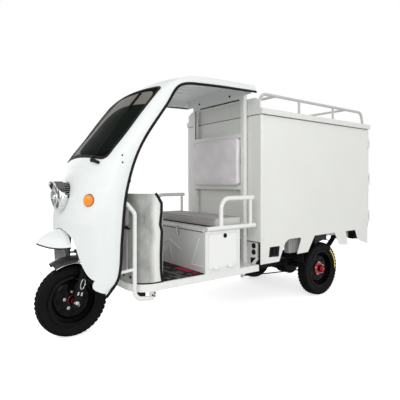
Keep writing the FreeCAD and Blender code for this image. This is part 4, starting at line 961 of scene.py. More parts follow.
# Headlamp: clear dome, bezel, bowl rings, hood bands and brackets
lampSizes = {
    "face": (1.482, 0, 0.962),
    "lens": 0.086, "domeFoot": -0.020, "domeSeat": -0.011, "domeRise": 0.019, "domeSteps": 9,
    "bezel": [(0.0985, -0.034), (0.1035, -0.034), (0.1045, -0.022), (0.099, -0.010), (0.089, -0.006),
              (0.0855, -0.010), (0.0855, -0.018)],
    "rings": ((0.060, 0.0075), (0.034, 0.0179)),  # radius and height of the rings in the bowl
    "hoodX": 1.432, "hoodFrom": 8, "hoodSweep": 60, "hoodSteps": 14, "hoodWide": 0.044, "hoodThick": 0.0030,
    "ribLong": 0.036, "ribRadius": 0.0014,
    "bracket": (0.052, 0.012, 0.024), "bracketX": -0.086, "bracketY": 0.100,
}


def lampFront():
    sizes = lampSizes
    face = Vector(sizes["face"])
    ahead = (1, 0, 0)
    dome = [(sizes["lens"], sizes["domeFoot"]), (sizes["lens"], sizes["domeSeat"])]
    for k in range(1, sizes["domeSteps"]):
        angle = math.pi / 2 * k / sizes["domeSteps"]
        rise = sizes["domeRise"] * math.sin(angle)
        dome.append((sizes["lens"] * math.cos(angle), sizes["domeSeat"] + rise))
    Form().turned(dome, face, ahead, 64).done("headlamp_lens", clearLens, "chassis")
    bezel = Form().turned(sizes["bezel"], face, ahead, 72, loop=True)
    for radius, tall in sizes["rings"]:
        ring = [(radius, 0.0), (radius + 0.004, 0.0), (radius + 0.003, tall), (radius + 0.001, tall)]
        bezel.turned(ring, face, ahead, 64, loop=True)
    bezel.done("headlamp_bezel", chrome, "chassis")


def lampHood():  # dark bands over the hood's shoulders with bright ribs on them, and the brackets behind
    sizes = lampSizes
    face = Vector(sizes["face"])
    bands = Form()
    ribs = Form()
    brackets = Form()
    for sign in (1, -1):
        arc = []
        outward = []
        for k in range(sizes["hoodSteps"] + 1):
            angle = math.radians(sizes["hoodFrom"] + sizes["hoodSweep"] * k / sizes["hoodSteps"])
            out = Vector((0, sign * math.cos(angle), math.sin(angle)))
            spot, normal = onto("headlamp", Vector((sizes["hoodX"], 0, face.z)) + out * 0.25, -out)
            arc.append(spot)
            outward.append(out)
            if k % 2:
                start = spot + out * sizes["hoodThick"] - Vector((sizes["ribLong"] / 2, 0, 0))
                ribs.sweep([start, start + Vector((sizes["ribLong"], 0, 0))], sizes["ribRadius"], 6)
        bands.ribbon(arc, outward, sizes["hoodWide"], sizes["hoodThick"])
        place = face + Vector((sizes["bracketX"], sign * sizes["bracketY"], 0))
        brackets.brick(place, sizes["bracket"], 0.003)
    bands.done("headlamp_hood_bands", trimRubber, "chassis")
    ribs.done("headlamp_hood_ribs", zinc, "chassis")
    brackets.done("headlamp_brackets", satinBlack, "chassis")


lampFront()
lampHood()

indicatorSizes = {
    "place": (1.372, 0.340, 0.945), "out": (0.62, 0.78, 0), "squeeze": 0.86,
    "seat": [(0.0365, 0.002), (0.0415, 0.002), (0.0408, 0.0095), (0.0375, 0.0105)],
    "dome": [(0.0380, -0.012), (0.0380, 0.010), (0.0372, 0.016), (0.0335, 0.023), (0.0265, 0.0285),
             (0.0170, 0.0318), (0.0060, 0.0332)],
}


def dressIndicators():  # oval lenses: a seat ring on the shell and a dome
    sizes = indicatorSizes
    seats = Form()
    domes = Form()
    for sign in (1, -1):
        out = Vector((sizes["out"][0], sign * sizes["out"][1], 0)).normalized()
        oval = turnTo(out) @ Matrix.Diagonal((sizes["squeeze"], 1, 1)) @ turnTo(out).inverted()
        x, y, z = sizes["place"]
        place = Matrix.Translation((x, sign * y, z)) @ oval.to_4x4()
        seats.add(Form().turned(sizes["seat"], (0, 0, 0), out, 48, loop=True), place)
        domes.add(Form().turned(sizes["dome"], (0, 0, 0), out, 48), place)
    seats.done("indicator_bezels", trimRubber, "chassis")
    domes.done("indicator_lenses", amberLens, "chassis", ["indicators"])


dressIndicators()

shellLineSizes = {
    "radius": 0.0018, "sink": 0.0004,
    "ledgeHalf": 0.33, "ledgeZ": 1.1650, "ledgeBow": 0.008, "ledgeSteps": 24,
    "crease": ((0.334, 1.033), (0.370, 1.036), (0.403, 1.039), (0.425, 1.042), (0.441, 1.045),
               (0.453, 1.047)),
}


def shellLines():  # soft moulded lines: a ledge under the glass and a crease on each flank
    sizes = shellLineSizes
    form = Form()
    starts = []
    for k in range(sizes["ledgeSteps"] + 1):
        across = 2 * k / sizes["ledgeSteps"] - 1
        starts.append((1.8, sizes["ledgeHalf"] * across, sizes["ledgeZ"] + sizes["ledgeBow"] * across ** 2))
    form.sweep(laid("cab_shell", starts, (-1, 0, 0), -sizes["sink"]), sizes["radius"], 8)
    for sign in (1, -1):
        starts = [(1.8, sign * y, z) for y, z in sizes["crease"]]
        form.sweep(laid("cab_shell", starts, (-1, 0, 0), -sizes["sink"]), sizes["radius"], 8)
    form.done("shell_lines", shellWhite, "chassis")


shellLines()

sealSwell = 0.0038  # how much fuller the near side's rubber stands than its plain solid


def fullSeal():  # the door openings' rubber, swollen on the near side
    form = Form()
    form.mesh.from_mesh(nodes["cab_seal"].data)
    bmesh.ops.remove_doubles(form.mesh, verts=form.mesh.verts, dist=0.00001)
    form.mesh.normal_update()
    places = [(v, v.co + v.normal * sealSwell) for v in form.mesh.verts if v.co.y > 0]
    for v, place in places:
        v.co = place
    form.done("door_seal", trimRubber, "chassis", ["cab_seal"])


fullSeal()

beakSizes = {
    "lip": [(1.428, 0.172, 0.631), (1.490, 0.140, 0.627), (1.545, 0.092, 0.633), (1.580, 0.046, 0.644),
            (1.594, 0.022, 0.649)],
    "lipRadius": 0.0048, "jointHalf": 0.15, "jointZ": 0.742, "jointBow": 1.2, "jointRadius": 0.0016,
}


def beakEdge():  # black rubber lip round the beak's lower edge, and the joint above the beak
    sizes = beakSizes
    left = [Vector(place) for place in sizes["lip"]]
    right = [Vector((x, -y, z)) for x, y, z in reversed(sizes["lip"])]
    lip = Form().sweep(rounded(left + right, 0.035, 5), sizes["lipRadius"], 10)
    lip.done("beak_lip", trimRubber, "chassis")
    starts = []
    for k in range(21):
        y = sizes["jointHalf"] * (k / 10 - 1)
        starts.append((1.8, y, sizes["jointZ"] - sizes["jointBow"] * y * y))
    joint = Form().sweep(laid("cab_shell", starts, (-1, 0, 0), 0.0005), sizes["jointRadius"], 8)
    joint.done("beak_joint", trimRubber, "chassis")


beakEdge()
print("nose dressed")

# Leg shield: rubber trim on its wavy rear edge and along its foot, bolts, and the parking lever on its strip
shieldSizes = {
    "face": 0.4762, "trim": 0.0098, "foot": 0.3975, "footFrom": 0.932, "footLong": 0.170, "footTrim": 0.0042,
    "edge": ((0.922, 0.398), (0.930, 0.440), (0.934, 0.485), (0.935, 0.577), (0.932, 0.650), (0.928, 0.735),
             (0.941, 0.780), (0.931, 0.864), (0.930, 0.918), (0.952, 0.957), (0.975, 0.9855)),
    "bolt": [(0.0085, -0.001), (0.0085, 0.004), (0.006, 0.006)],
    "bolts": ((0.294, 0.436), (0.375, 0.434)),
}

leverSizes = {
    "plates": (((1.1125, 0.322, 0.775), (1.1170, 0.358, 0.905)),
               ((1.1125, 0.334, 0.470), (1.1150, 0.346, 0.742))),
    "boss": ((1.1100, 0.322, 0.750), (1.128, 0.352, 0.766)),
    "arm": [(1.124, 0.292, 0.7585), (1.128, 0.340, 0.7575), (1.126, 0.395, 0.7565)],
    "armRadii": [0.0050, 0.0060, 0.0066],
}


def shieldTrim():
    sizes = shieldSizes
    trim = Form()
    for sign in (1, -1):
        y = sign * sizes["face"]
        trim.sweep(rounded([(x, y, z) for x, z in sizes["edge"]], 0.03, 3), sizes["trim"], 10)
        places = [sizes["footFrom"] + sizes["footLong"] * k / 14 for k in range(15)]
        starts = [(x, sign * 0.8, sizes["foot"]) for x in places]
        trim.sweep(laid("leg_shield", starts, (0, -sign, 0), 0.001), sizes["footTrim"], 8)
    trim.done("shield_trim", trimRubber, "chassis")


def parkingLever():
    sizes = leverSizes
    strip = Form()
    for low, high in sizes["plates"]:
        strip.block(low, high, 0.001)
    strip.done("lever_strip", frameWhite, "chassis")
    lever = Form().block(*sizes["boss"], 0.002)
    lever.sweep(sizes["arm"], sizes["armRadii"], 12)
    lever.done("parking_lever", trimRubber, "chassis")


def shieldBolts():
    sizes = shieldSizes
    form = Form()
    starts = [(1.3, sign * y, z) for y, z in sizes["bolts"] for sign in (1, -1)]
    fasten(form, sizes["bolt"], 6, "leg_shield", starts, (-1, 0, 0))
    form.done("shield_bolts", trimRubber, "chassis")


shieldTrim()
parkingLever()
shieldBolts()

hoopSizes = {
    "y": 0.405, "plate": ((1.020, -0.020, 0.305), (1.085, 0.020, 0.3425)),
    "bolts": ((0.968, 0.324), (0.985, 0.313), (0.972, 0.306)), "boltY": 0.4515,
    "bolt": [(0.0055, -0.004), (0.0055, 0.004), (0.0040, 0.0055)],
}


def hoopFeet():  # angle plates that hang each hoop's foot under the pan, with their bolts
    sizes = hoopSizes
    plates = Form()
    bolts = Form()
    for sign in (1, -1):
        low, high = (Vector(corner) + Vector((0, sign * sizes["y"], 0)) for corner in sizes["plate"])
        plates.block(low, high, 0.002)
        for x, z in sizes["bolts"]:
            bolts.turned(sizes["bolt"], (x, sign * sizes["boltY"], z), (0, sign, 0), 6)
    plates.done("hoop_foot_plates", satinBlack, "chassis")
    bolts.done("hoop_foot_bolts", satinBlack, "chassis")


hoopFeet()
print("leg shield dressed")

# Seat: crowned cushion and backrest with welts and sewn channels
padSizes = {
    "seat": {"low": (0.159, -0.430, 0.7146), "high": (0.430, 0.430, 0.7936), "crown": 0.010, "seams": 3},
    "back": {"low": (0.0506, -0.305, 1.035), "high": (0.1146, 0.305, 1.426), "crown": 0.008, "seams": 0},
    "corner": 0.030, "square": 0.30, "rows": 110, "around": 60, "seamWide": 0.007, "channel": 0.004,
    "channelPlace": 0.055, "channelWide": 0.006, "swell": 0.004, "weltInset": 0.004, "lift": 0.0004,
}


def squared(value, power):  # flattens a sine towards a rounded square
    return math.copysign(abs(value) ** power, value)


def pillow(deep, wide, tall, crown, seams):
    # a crowned pad lying on z 0: x to deep, y to both sides, with seams across it; also its welt's loop
    sizes = padSizes
    corner = sizes["corner"]
    inset = sizes["weltInset"]
    rows = []
    welts = ([], [])
    for i in range(sizes["rows"] + 1):
        y = wide * (2 * i / sizes["rows"] - 1)
        edge = wide - abs(y)
        squeeze = 0.0
        if edge < corner:  # rounded plan corners
            if edge:
                y = math.copysign(wide - corner * (1 - math.cos(math.pi / 2 * edge / corner)), y)
            squeeze = corner - math.sqrt(max(0.0, corner ** 2 - (corner - (wide - abs(y))) ** 2))
        span = deep - 2 * squeeze
        bulge = crown * (1 - (y / wide) ** 4)
        for k in range(seams):
            at = wide * (2 * (k + 1) / (seams + 1) - 1)
            bulge -= 0.6 * crown * math.exp(-((y - at) / sizes["seamWide"]) ** 2)
        row = []
        for k in range(sizes["around"]):
            angle = 2 * math.pi * (k + 0.5) / sizes["around"]
            c = squared(math.cos(angle), sizes["square"])
            s = squared(math.sin(angle), sizes["square"])
            x = squeeze + span / 2 * (1 + c)
            z = tall / 2 * (1 + s)
            if s > 0:
                z += bulge * (1 - abs(c) ** 3) * s
            if s > 0 and seams:
                across = (x - squeeze - sizes["channelPlace"]) / sizes["channelWide"]
                z -= sizes["channel"] * math.exp(-across ** 2)
            x += sizes["swell"] * c * math.sin(math.pi * z / tall) * (1 - (y / wide) ** 8)
            row.append(Vector((x, y, z)))
        rows.append(row)
        welts[0].append(Vector((squeeze + inset, y, tall - inset)))
        welts[1].append(Vector((squeeze + span - inset, y, tall - inset)))
    form = Form()
    form.rings(rows)
    return form, welts[0] + welts[1][::-1]


def makeCushion():
    sizes = padSizes["seat"]
    low, high = Vector(sizes["low"]), Vector(sizes["high"])
    tall = high.z - low.z - sizes["crown"]
    form, loop = pillow(high.x - low.x, high.y, tall, sizes["crown"], sizes["seams"])
    place = Matrix.Translation((low.x, 0, low.z + padSizes["lift"]))
    cushion = Form().add(form, place).done("seat_cushion_sewn", vinyl, "lid", ["seat_cushion"], smooth=60)
    welt = Form().sweep([place @ spot for spot in loop], 0.0036, 8, loop=True)
    welt.done("seat_welt", vinyl, "lid")
    # painted shadow: a dark bead round the cushion's foot for the shadow line between cushion and lid
    foot = [place @ Vector((spot.x, spot.y, 0.004)) for spot in loop]
    Form().sweep(foot, 0.0042, 8, loop=True).done("seat_shadow_bead", trimRubber, "lid")


def makeBackrest():  # a pad stood on its edge, its crown facing forward
    sizes = padSizes["back"]
    low, high = Vector(sizes["low"]), Vector(sizes["high"])
    thick = high.x - low.x - sizes["crown"]
    form, loop = pillow(high.z - low.z, high.y, thick, sizes["crown"], sizes["seams"])
    stand = Matrix(((0, 0, 1, low.x + padSizes["lift"]), (0, 1, 0, 0), (-1, 0, 0, high.z), (0, 0, 0, 1)))
    pad = Form().add(form, stand).done("backrest_sewn", backVinyl, "chassis", ["partition_panel"], smooth=60)
    welt = Form().sweep([stand @ spot for spot in loop], 0.0034, 8, loop=True)
    welt.done("backrest_welt", backVinyl, "chassis")


makeCushion()
makeBackrest()
print("pads made")

# Seat box: embossed ribs, a dark bead of painted shadow under the lid, hatch lock and the flange behind the
# hatch
boxSizes = {
    "front": 0.564, "side": 0.480,
    "ribs": [  # start and end of each rib, across and up; mirrored
        ((-0.006, 0.592), (0.168, 0.5265)), ((-0.006, 0.551), (0.054, 0.421)),
        ((0.404, 0.641), (0.303, 0.436)), ((0.303, 0.436), (0.452, 0.443)),
    ],
    "ribWide": 0.011, "ribTall": 0.0030, "lidShadowHalf": 0.453, "lidShadowZ": 0.6955, "lidShadowRadius": 0.0030,
    "lock": [(0.0165, 0), (0.0165, 0.004), (0.0140, 0.0065)], "lockPlace": (0.377, 0.659),
    "landingWide": 0.020, "landingIn": 0.0075, "landingOut": 0.0032,
    "landingX": (0.2565, 0.5325), "landingZ": (0.4245, 0.6765), "landingOver": 0.0105, "landingClear": 0.0102,
}


def dressSeatBox():
    sizes = boxSizes
    front = sizes["front"]
    side = sizes["side"]
    ribs = Form()
    for sign in (1, -1):
        for ends in sizes["ribs"]:
            run = [(front + 0.0006, sign * y, z) for y, z in ends]
            ribs.ribbon(run, [(1, 0, 0)] * 2, sizes["ribWide"], sizes["ribTall"])
    ribs.done("seat_box_ribs", boxWhite, "chassis")
    # painted shadow: a dark bead along the lid's foot for the shadow line in the seam below the lid
    lidShadow = [(front + 0.001, sign * sizes["lidShadowHalf"], sizes["lidShadowZ"]) for sign in (-1, 1)]
    Form().sweep(lidShadow, sizes["lidShadowRadius"], 8).done("lid_shadow_bead", trimRubber, "chassis")
    x, z = sizes["lockPlace"]
    lock = Form().turned(sizes["lock"], (x, side + 0.0002, z), (0, 1, 0), 28)
    lock.brick((x, side + 0.0070, z), (0.003, 0.0008, 0.014), 0)
    lock.done("hatch_lock", satinBlack, "chassis")


def hatchLanding():  # turned flange that the hatch closes on, seen through the gap round it
    sizes = boxSizes
    half = sizes["landingWide"] / 2
    inside = sizes["side"] - sizes["landingIn"]
    outside = sizes["side"] - sizes["landingOut"]
    rear, ahead = sizes["landingX"]
    foot, top = sizes["landingZ"]
    form = Form()
    over, clear = sizes["landingOver"], sizes["landingClear"]
    for x in (rear, ahead):
        form.block((x - half, inside, foot - over), (x + half, outside, top + over), 0)
    for z in (foot, top):
        form.block((rear + clear, inside, z - half), (ahead - clear, outside, z + half), 0)
    form.done("hatch_landing", boxWhite, "chassis")


dressSeatBox()
hatchLanding()

haspSizes = {  # places ahead of the box's front, across from the hasp's middle, and up
    "middle": 0.133, "bevel": 0.0008,
    "plates": [((-0.010, -0.017, 0.7148), (0.012, 0.017, 0.7175)),
               ((0.0095, -0.012, 0.690), (0.0125, 0.012, 0.7170))],
    "bow": [(0.013, -0.009, 0.694), (0.020, -0.010, 0.658), (0.020, 0.010, 0.658), (0.013, 0.009, 0.694)],
    "bowBend": 0.008, "bowWire": 0.0024,
    "staple": [(0.0002, -0.015, 0.640), (0.0022, 0.015, 0.690)],
    "eye": [(0.002, -0.006, 0.672), (0.0165, -0.006, 0.672), (0.0165, 0.006, 0.672), (0.002, 0.006, 0.672)],
    "eyeBend": 0.005, "eyeWire": 0.0020,
}


def onHasp(places):
    origin = Vector((boxSizes["front"], haspSizes["middle"], 0))
    return [origin + Vector(place) for place in places]


def seatHasp():  # folded plates and their bow on the lid, and the staple on the box
    sizes = haspSizes
    hasp = Form()
    for plate in sizes["plates"]:
        hasp.block(*onHasp(plate), sizes["bevel"])
    hasp.sweep(rounded(onHasp(sizes["bow"]), sizes["bowBend"]), sizes["bowWire"], 8)
    hasp.done("seat_hasp", zinc, "lid")
    staple = Form().block(*onHasp(sizes["staple"]), sizes["bevel"])
    staple.sweep(rounded(onHasp(sizes["eye"]), sizes["eyeBend"]), sizes["eyeWire"], 8)
    staple.done("seat_staple", zinc, "chassis")


seatHasp()
print("seat box dressed")

# Cargo box: folded corner posts, a dark bead of painted shadow and rivets under the roof cap, rack feet and
# lamp rims
cargoSizes = {
    "front": 0.018, "rear": -1.572, "half": 0.500, "low": 0.396, "top": 1.606,
    "postFrom": -0.016, "postTo": 0.0198, "postThick": 0.0024,
    "beadOut": 0.0014, "beadZ": 1.6045, "beadRadius": 0.0021,
    "roofRivets": {"radius": 0.0042, "count": 18, "step": (0.085, 0, 0), "start": (-1.552, 0.5205, 1.624)},
    "postRivets": {"radius": 0.0036, "count": 12, "step": (0, 0, 0.098), "start": (0.008, 0.5012, 0.45)},
    "rackHalf": 0.450, "rackPosts": (-0.014, -0.539, -1.048, -1.554),
    "rackFoot": [(0.020, -0.001), (0.020, 0.0030), (0.0185, 0.0040)],
    "footBolt": [(0.0035, 0.003), (0.0035, 0.0060), (0.0025, 0.0070)], "footBoltX": 0.0145,
    "lampX": -1.5942, "lampY": 0.380, "lampZ": 0.484, "lampHalfWide": 0.057, "lampHalfTall": 0.022,
}


def boxEdges():  # folded posts at the front corners, and a dark bead under the roof cap's edge, painted shadow for the shading line there
    sizes = cargoSizes
    posts = Form()
    for sign in (1, -1):
        y = sign * (sizes["half"] + 0.0006)
        half = sizes["postThick"] / 2
        low = (sizes["postFrom"], y - half, sizes["low"])
        posts.block(low, (sizes["postTo"], y + half, sizes["top"]), 0.0005)
    posts.done("box_corner_posts", frameWhite, "chassis")
    # painted shadow: the bead darkens the seam line under the roof cap's edge
    side = sizes["half"] + sizes["beadOut"]
    ahead = sizes["front"] + sizes["beadOut"]
    rear = sizes["rear"] + 0.002
    corners = [(rear, side), (ahead, side), (ahead, -side), (rear, -side)]
    run = rounded([(x, y, sizes["beadZ"]) for x, y in corners], 0.006, 3)
    Form().sweep(run, sizes["beadRadius"], 8).done("roof_shadow_bead", trimRubber, "chassis")


def boxRivets():  # rows under the roof cap and up the front posts
    form = Form()
    for sign in (1, -1):
        for row in (cargoSizes["roofRivets"], cargoSizes["postRivets"]):
            radius = row["radius"]
            x, y, z = row["start"]
            head = [(radius, -0.0005), (radius, 0.0006), (radius * 0.65, 0.0017)]
            rivet = Form().turned(head, (0, 0, 0), (0, sign, 0), 12)
            place = Matrix.Translation((x, sign * y, z))
            form.add(repeated(rivet, row["count"], boxWhite, shift=row["step"], place=place))
    form.done("box_rivets", boxWhite, "chassis")


def rackFeet():  # round plates under the roof rack's posts, two bolts in each
    sizes = cargoSizes
    form = Form()
    for x in sizes["rackPosts"]:
        for sign in (1, -1):
            spot, normal = onto("cargo_roof", (x, sign * sizes["rackHalf"], 1.9), (0, 0, -1))
            form.turned(sizes["rackFoot"], spot, normal, 28)
            for shift in (-sizes["footBoltX"], sizes["footBoltX"]):
                form.turned(sizes["footBolt"], spot + Vector((shift, 0, 0)), normal, 6)
    form.done("rack_feet", frameWhite, "chassis")


def lampRims():  # rubber rims round the tail lamps, each with a bar that parts its two lenses
    sizes = cargoSizes
    wide, tall = sizes["lampHalfWide"], sizes["lampHalfTall"]
    form = Form()
    for sign in (1, -1):
        x, y, z = sizes["lampX"], sign * sizes["lampY"], sizes["lampZ"]
        corners = ((-wide, -tall), (wide, -tall), (wide, tall), (-wide, tall))
        ring = [(x, y + across, z + up) for across, up in corners]
        run = rounded(ring + ring[:2], 0.008, 3)[1:-1]
        form.ribbon(run, [(-1, 0, 0)] * len(run), 0.0055, 0.0030)
        form.brick((x - 0.0008, y, z), (0.0030, 0.0040, 0.042), 0.0005)
    form.done("tail_lamp_rims", trimRubber, "chassis")


boxEdges()
boxRivets()
rackFeet()
lampRims()

doorSizes = {
    "face": -1.612, "low": 0.600, "high": 1.580, "middle": 1.09, "inner": 0.030, "outer": 0.478,
    "ribHalf": 0.008,
    "rodY": -0.055, "rodOut": 0.014, "rodRadius": 0.0065, "rodFrom": 0.604, "rodTo": 1.576,
    "guides": (0.66, 0.92, 1.26, 1.52), "guide": (0.012, 0.014), "guideOut": 0.022, "lift": 0.0005,
    "keeperOut": 0.028, "keeper": ((-0.195, 1.028), (-0.175, 1.040)), "handleRadius": 0.0068,
    "handle": [(0.016, -0.055, 1.05), (0.030, -0.075, 1.05), (0.030, -0.200, 1.045)],  # rearward, across, up
}


def doorRibs(name, sign):  # pressed frame and middle bar on a door
    sizes = doorSizes
    face, half = sizes["face"], sizes["ribHalf"]
    ribs = Form()
    for y in (sizes["inner"], sizes["outer"]):
        low = (face - 0.0035, sign * y - half, sizes["low"])
        ribs.block(low, (face + 0.0008, sign * y + half, sizes["high"]), 0.0012)
    near, far = sorted((sign * sizes["inner"], sign * sizes["outer"]))
    for z in (sizes["low"] + half, sizes["middle"], sizes["high"] - half):
        ribs.block((face - 0.0033, near, z - half), (face + 0.0008, far, z + half), 0.0012)
    ribs.done(f"door_{name}_ribs", boxWhite, f"door_{name}")


def doorLock():  # long rod in four guides on the right door, its handle and the handle's keeper
    sizes = doorSizes
    face, y = sizes["face"], sizes["rodY"]
    x = face - sizes["rodOut"]
    seat = face - sizes["lift"]
    rod = Form().sweep([(x, y, sizes["rodFrom"]), (x, y, sizes["rodTo"])], sizes["rodRadius"], 14)
    wide, tall = sizes["guide"]
    for z in sizes["guides"]:
        rod.block((face - sizes["guideOut"], y - wide, z - tall), (seat, y + wide, z + tall), 0.002)
    handle = [(face - back, across, z) for back, across, z in sizes["handle"]]
    rod.sweep(rounded(handle, 0.012), sizes["handleRadius"], 12)
    low, high = sizes["keeper"]
    rod.block((face - sizes["keeperOut"], *low), (seat, *high), 0.0015)
    rod.done("door_lock_rod", zinc, "door_right")


doorRibs("left", 1)
doorRibs("right", -1)
doorLock()
print("box dressed")

# Canopy: pressed ribs under its front half, two screws, the black strip on the partition's head and a black
# strip of painted shadow down the window gap's far side
canopySizes = {
    "ribs": (-0.36, -0.27, -0.18, -0.09, 0.0, 0.09, 0.18, 0.27, 0.36),
    "ribFrom": 0.300, "ribLong": 0.42, "bow": 0.030, "ribWide": 0.022, "ribTall": 0.0130,
    "screws": (-0.248, 0.183), "screwZ": 1.792, "screw": [(0.0100, -0.001), (0.0100, 0.003), (0.007, 0.0055)],
    "strips": (((0.0655, -0.236, 1.7375), (0.0690, 0.300, 1.7480)),
               ((0.0655, -0.3160, 1.4630), (0.0690, -0.3050, 1.7370))),
}


def canopyRibs():  # each rib bows outward at its rear end
    sizes = canopySizes
    form = Form()
    for y in sizes["ribs"]:
        side = math.copysign(1, y if y else 1)
        spots = []
        for k in range(13):
            bow = side * sizes["bow"] * max(0.0, 1 - k / 4) ** 2
            start = (sizes["ribFrom"] + sizes["ribLong"] * k / 12, y + bow, 1.2)
            spots.append(onto("cab_shell", start, (0, 0, 1)))
        met = [(spot, normal) for spot, normal in spots if spot]
        form.ribbon([s for s, n in met], [n for s, n in met], sizes["ribWide"], sizes["ribTall"])
    form.done("canopy_ribs", frameWhite, "chassis")


def canopyTrim():
    sizes = canopySizes
    screws = Form()
    starts = [(0.3, y, sizes["screwZ"]) for y in sizes["screws"]]
    fasten(screws, sizes["screw"], 16, "cab_shell", starts, (-1, 0, 0))
    screws.done("canopy_screws", trimRubber, "chassis")
    strips = Form()
    for low, high in sizes["strips"]:  # along the window gap's top, then down its far side as painted shadow in the gap
        strips.block(low, high, 0.0008)
    strips.done("partition_strip", trimRubber, "chassis")


canopyRibs()
canopyTrim()

# Handlebar: swept tube in its clamp, ribbed grips, brake levers and switch pods
barSizes = {
    "clamp": (1.1237, 0, 1.0642), "aft": 0.060, "rise": 0.006,
    "half": 0.264, "bendOut": 0.170, "bendIn": 0.093, "tube": 0.011,
    "clampRing": [(0.022, -0.034), (0.026, -0.031), (0.026, 0.010), (0.022, 0.014)],
    "bolt": {"ahead": 0.012, "across": 0.014, "low": 0.012, "high": 0.020, "radius": 0.005},
    "gripFrom": 0.158, "grip": 0.0165, "gripRibs": 11, "ribPitch": 0.0085,
    "button": (0.010, 0.018, 0.016), "buttonPlace": (-0.021, 0.137, 0.012),
    "podFrom": 0.122, "pod": [(0.014, 0.0), (0.021, 0.003), (0.021, 0.028), (0.014, 0.031)],
    "lever": [(0.024, 0.138, -0.004), (0.040, 0.166, -0.008), (0.042, 0.213, -0.012), (0.032, 0.260, -0.014)],
    "leverRadii": [0.0065, 0.0055, 0.0050, 0.0060],
}


def barTube(clamp, back):
    sizes = barSizes
    left = [(back, sizes["half"]), (back, sizes["bendOut"]), (clamp, sizes["bendIn"])]
    run = [spot - Vector((0, y, 0)) for spot, y in left]
    run += [spot + Vector((0, y, 0)) for spot, y in reversed(left)]
    bar = Form().sweep(rounded(run, 0.05, 6), sizes["tube"], 16)
    axis = (onFork(1) - onFork(0)).normalized()
    bar.turned(sizes["clampRing"], clamp, axis, 28)
    bolt = sizes["bolt"]
    for sign in (1, -1):
        spot = clamp + Vector((bolt["ahead"], sign * bolt["across"], 0))
        bar.rod(spot + axis * bolt["low"], spot + axis * bolt["high"], bolt["radius"], 6)
    bar.done("handlebar_tube", satinBlack, "steering", ["handlebar"])


def barControls(back):  # a grip, a switch pod with its button and a brake lever on each side
    sizes = barSizes
    grip = [(0.0125, 0.0), (0.0205, 0.001), (0.0205, 0.004), (sizes["grip"] - 0.0015, 0.006)]
    for k in range(sizes["gripRibs"]):
        along = sizes["ribPitch"] * (k + 1)
        grip += [(sizes["grip"], along), (sizes["grip"] - 0.0016, along + 0.004)]
    grip += [(0.0175, 0.102), (0.0175, 0.106), (0.013, 0.108)]
    grips = Form()
    pods = Form()
    levers = Form()
    for sign in (1, -1):
        out = Vector((0, sign, 0))
        grips.turned(grip, back + out * sizes["gripFrom"], out, 28)
        pods.turned(sizes["pod"], back + out * sizes["podFrom"], out, 24)
        x, y, z = sizes["buttonPlace"]
        pods.brick(back + Vector((x, sign * y, z)), sizes["button"], 0.003)
        run = [back + Vector((x, sign * y, z)) for x, y, z in sizes["lever"]]
        levers.sweep(run, sizes["leverRadii"], 12)
    grips.done("handlebar_grips", trimRubber, "steering")
    pods.done("switch_pods", darkPlastic, "steering")
    levers.done("brake_levers", zinc, "steering")


def dressBar():
    clamp = Vector(barSizes["clamp"])
    back = clamp + Vector((-barSizes["aft"], 0, barSizes["rise"]))
    barTube(clamp, back)
    barControls(back)


dressBar()

dashSizes = {
    "place": (0.7, 0.0, 1.19),
    "rim": [(0.044, -0.002), (0.050, -0.002), (0.050, 0.010), (0.046, 0.014), (0.042, 0.010)],
    "face": [(0.043, -0.002), (0.043, 0.005), (0.030, 0.007), (0.012, 0.0078)],
    "knob": [(0.013, -0.002), (0.013, 0.004), (0.009, 0.006), (0.009, 0.014), (0.007, 0.016)],
    "knobs": (-0.14, 0.14, 0.18), "knobZ": 1.185,
}


def dressDash():  # round instrument and three switches on the dashboard's rear face
    sizes = dashSizes
    spot, normal = onto("dashboard", sizes["place"], (1, 0, 0))
    Form().turned(sizes["rim"], spot, normal, 48, loop=True).done("instrument_rim", chrome, "chassis")
    Form().turned(sizes["face"], spot, normal, 48).done("instrument_face", darkPlastic, "chassis")
    knobs = Form()
    starts = [(0.7, y, sizes["knobZ"]) for y in sizes["knobs"]]
    fasten(knobs, sizes["knob"], 24, "dashboard", starts, (1, 0, 0))
    knobs.done("dash_switches", trimRubber, "chassis")


dressDash()
print("cab dressed")

# Gusset at the box's front: grommets for the looms, and a dark rubber bead of painted shadow along its edge
gussetSizes = {
    "grommet": [(0.0198, -0.009), (0.0198, 0.000), (0.0225, 0.0005), (0.0225, 0.0030), (0.0180, 0.0055)],
    "y": 0.403, "holes": (0.482, 0.534), "edge": ((0.330, 0.5665), (0.4545, 0.5665), (0.4545, 0.438)),
    "edgeRadius": 0.0028,
}


def gussetTrim():
    sizes = gussetSizes
    form = Form()
    for sign in (1, -1):
        for z in sizes["holes"]:
            form.turned(sizes["grommet"], (-0.001, sign * sizes["y"], z), (1, 0, 0), 28)
        # painted shadow: a dark bead along the gusset's top and outer edge for the shadow line round it
        edge = [(0.001, sign * y, z) for y, z in sizes["edge"]]
        form.sweep(rounded(edge, 0.008, 3), sizes["edgeRadius"], 8)
    form.done("gusset_grommets", trimRubber, "chassis")


gussetTrim()

# Controller behind the skirt's opening: cooling fins on its side and end, and the lip between them
controllerSizes = {
    "start": -0.548, "low": 0.4395, "high": 0.5725, "inner": 0.4480, "outer": 0.4640,
    "fins": 9, "pitch": 0.020, "fin": 0.010, "lastFin": 0.012,
    "endFins": 5, "endFrom": 0.410, "endPitch": 0.012, "endFin": 0.0022,
    "endX": (0.1730, 0.1790), "inset": 0.0015,
    "lipX": (0.1718, 0.1735), "lipY": 0.4050,
}


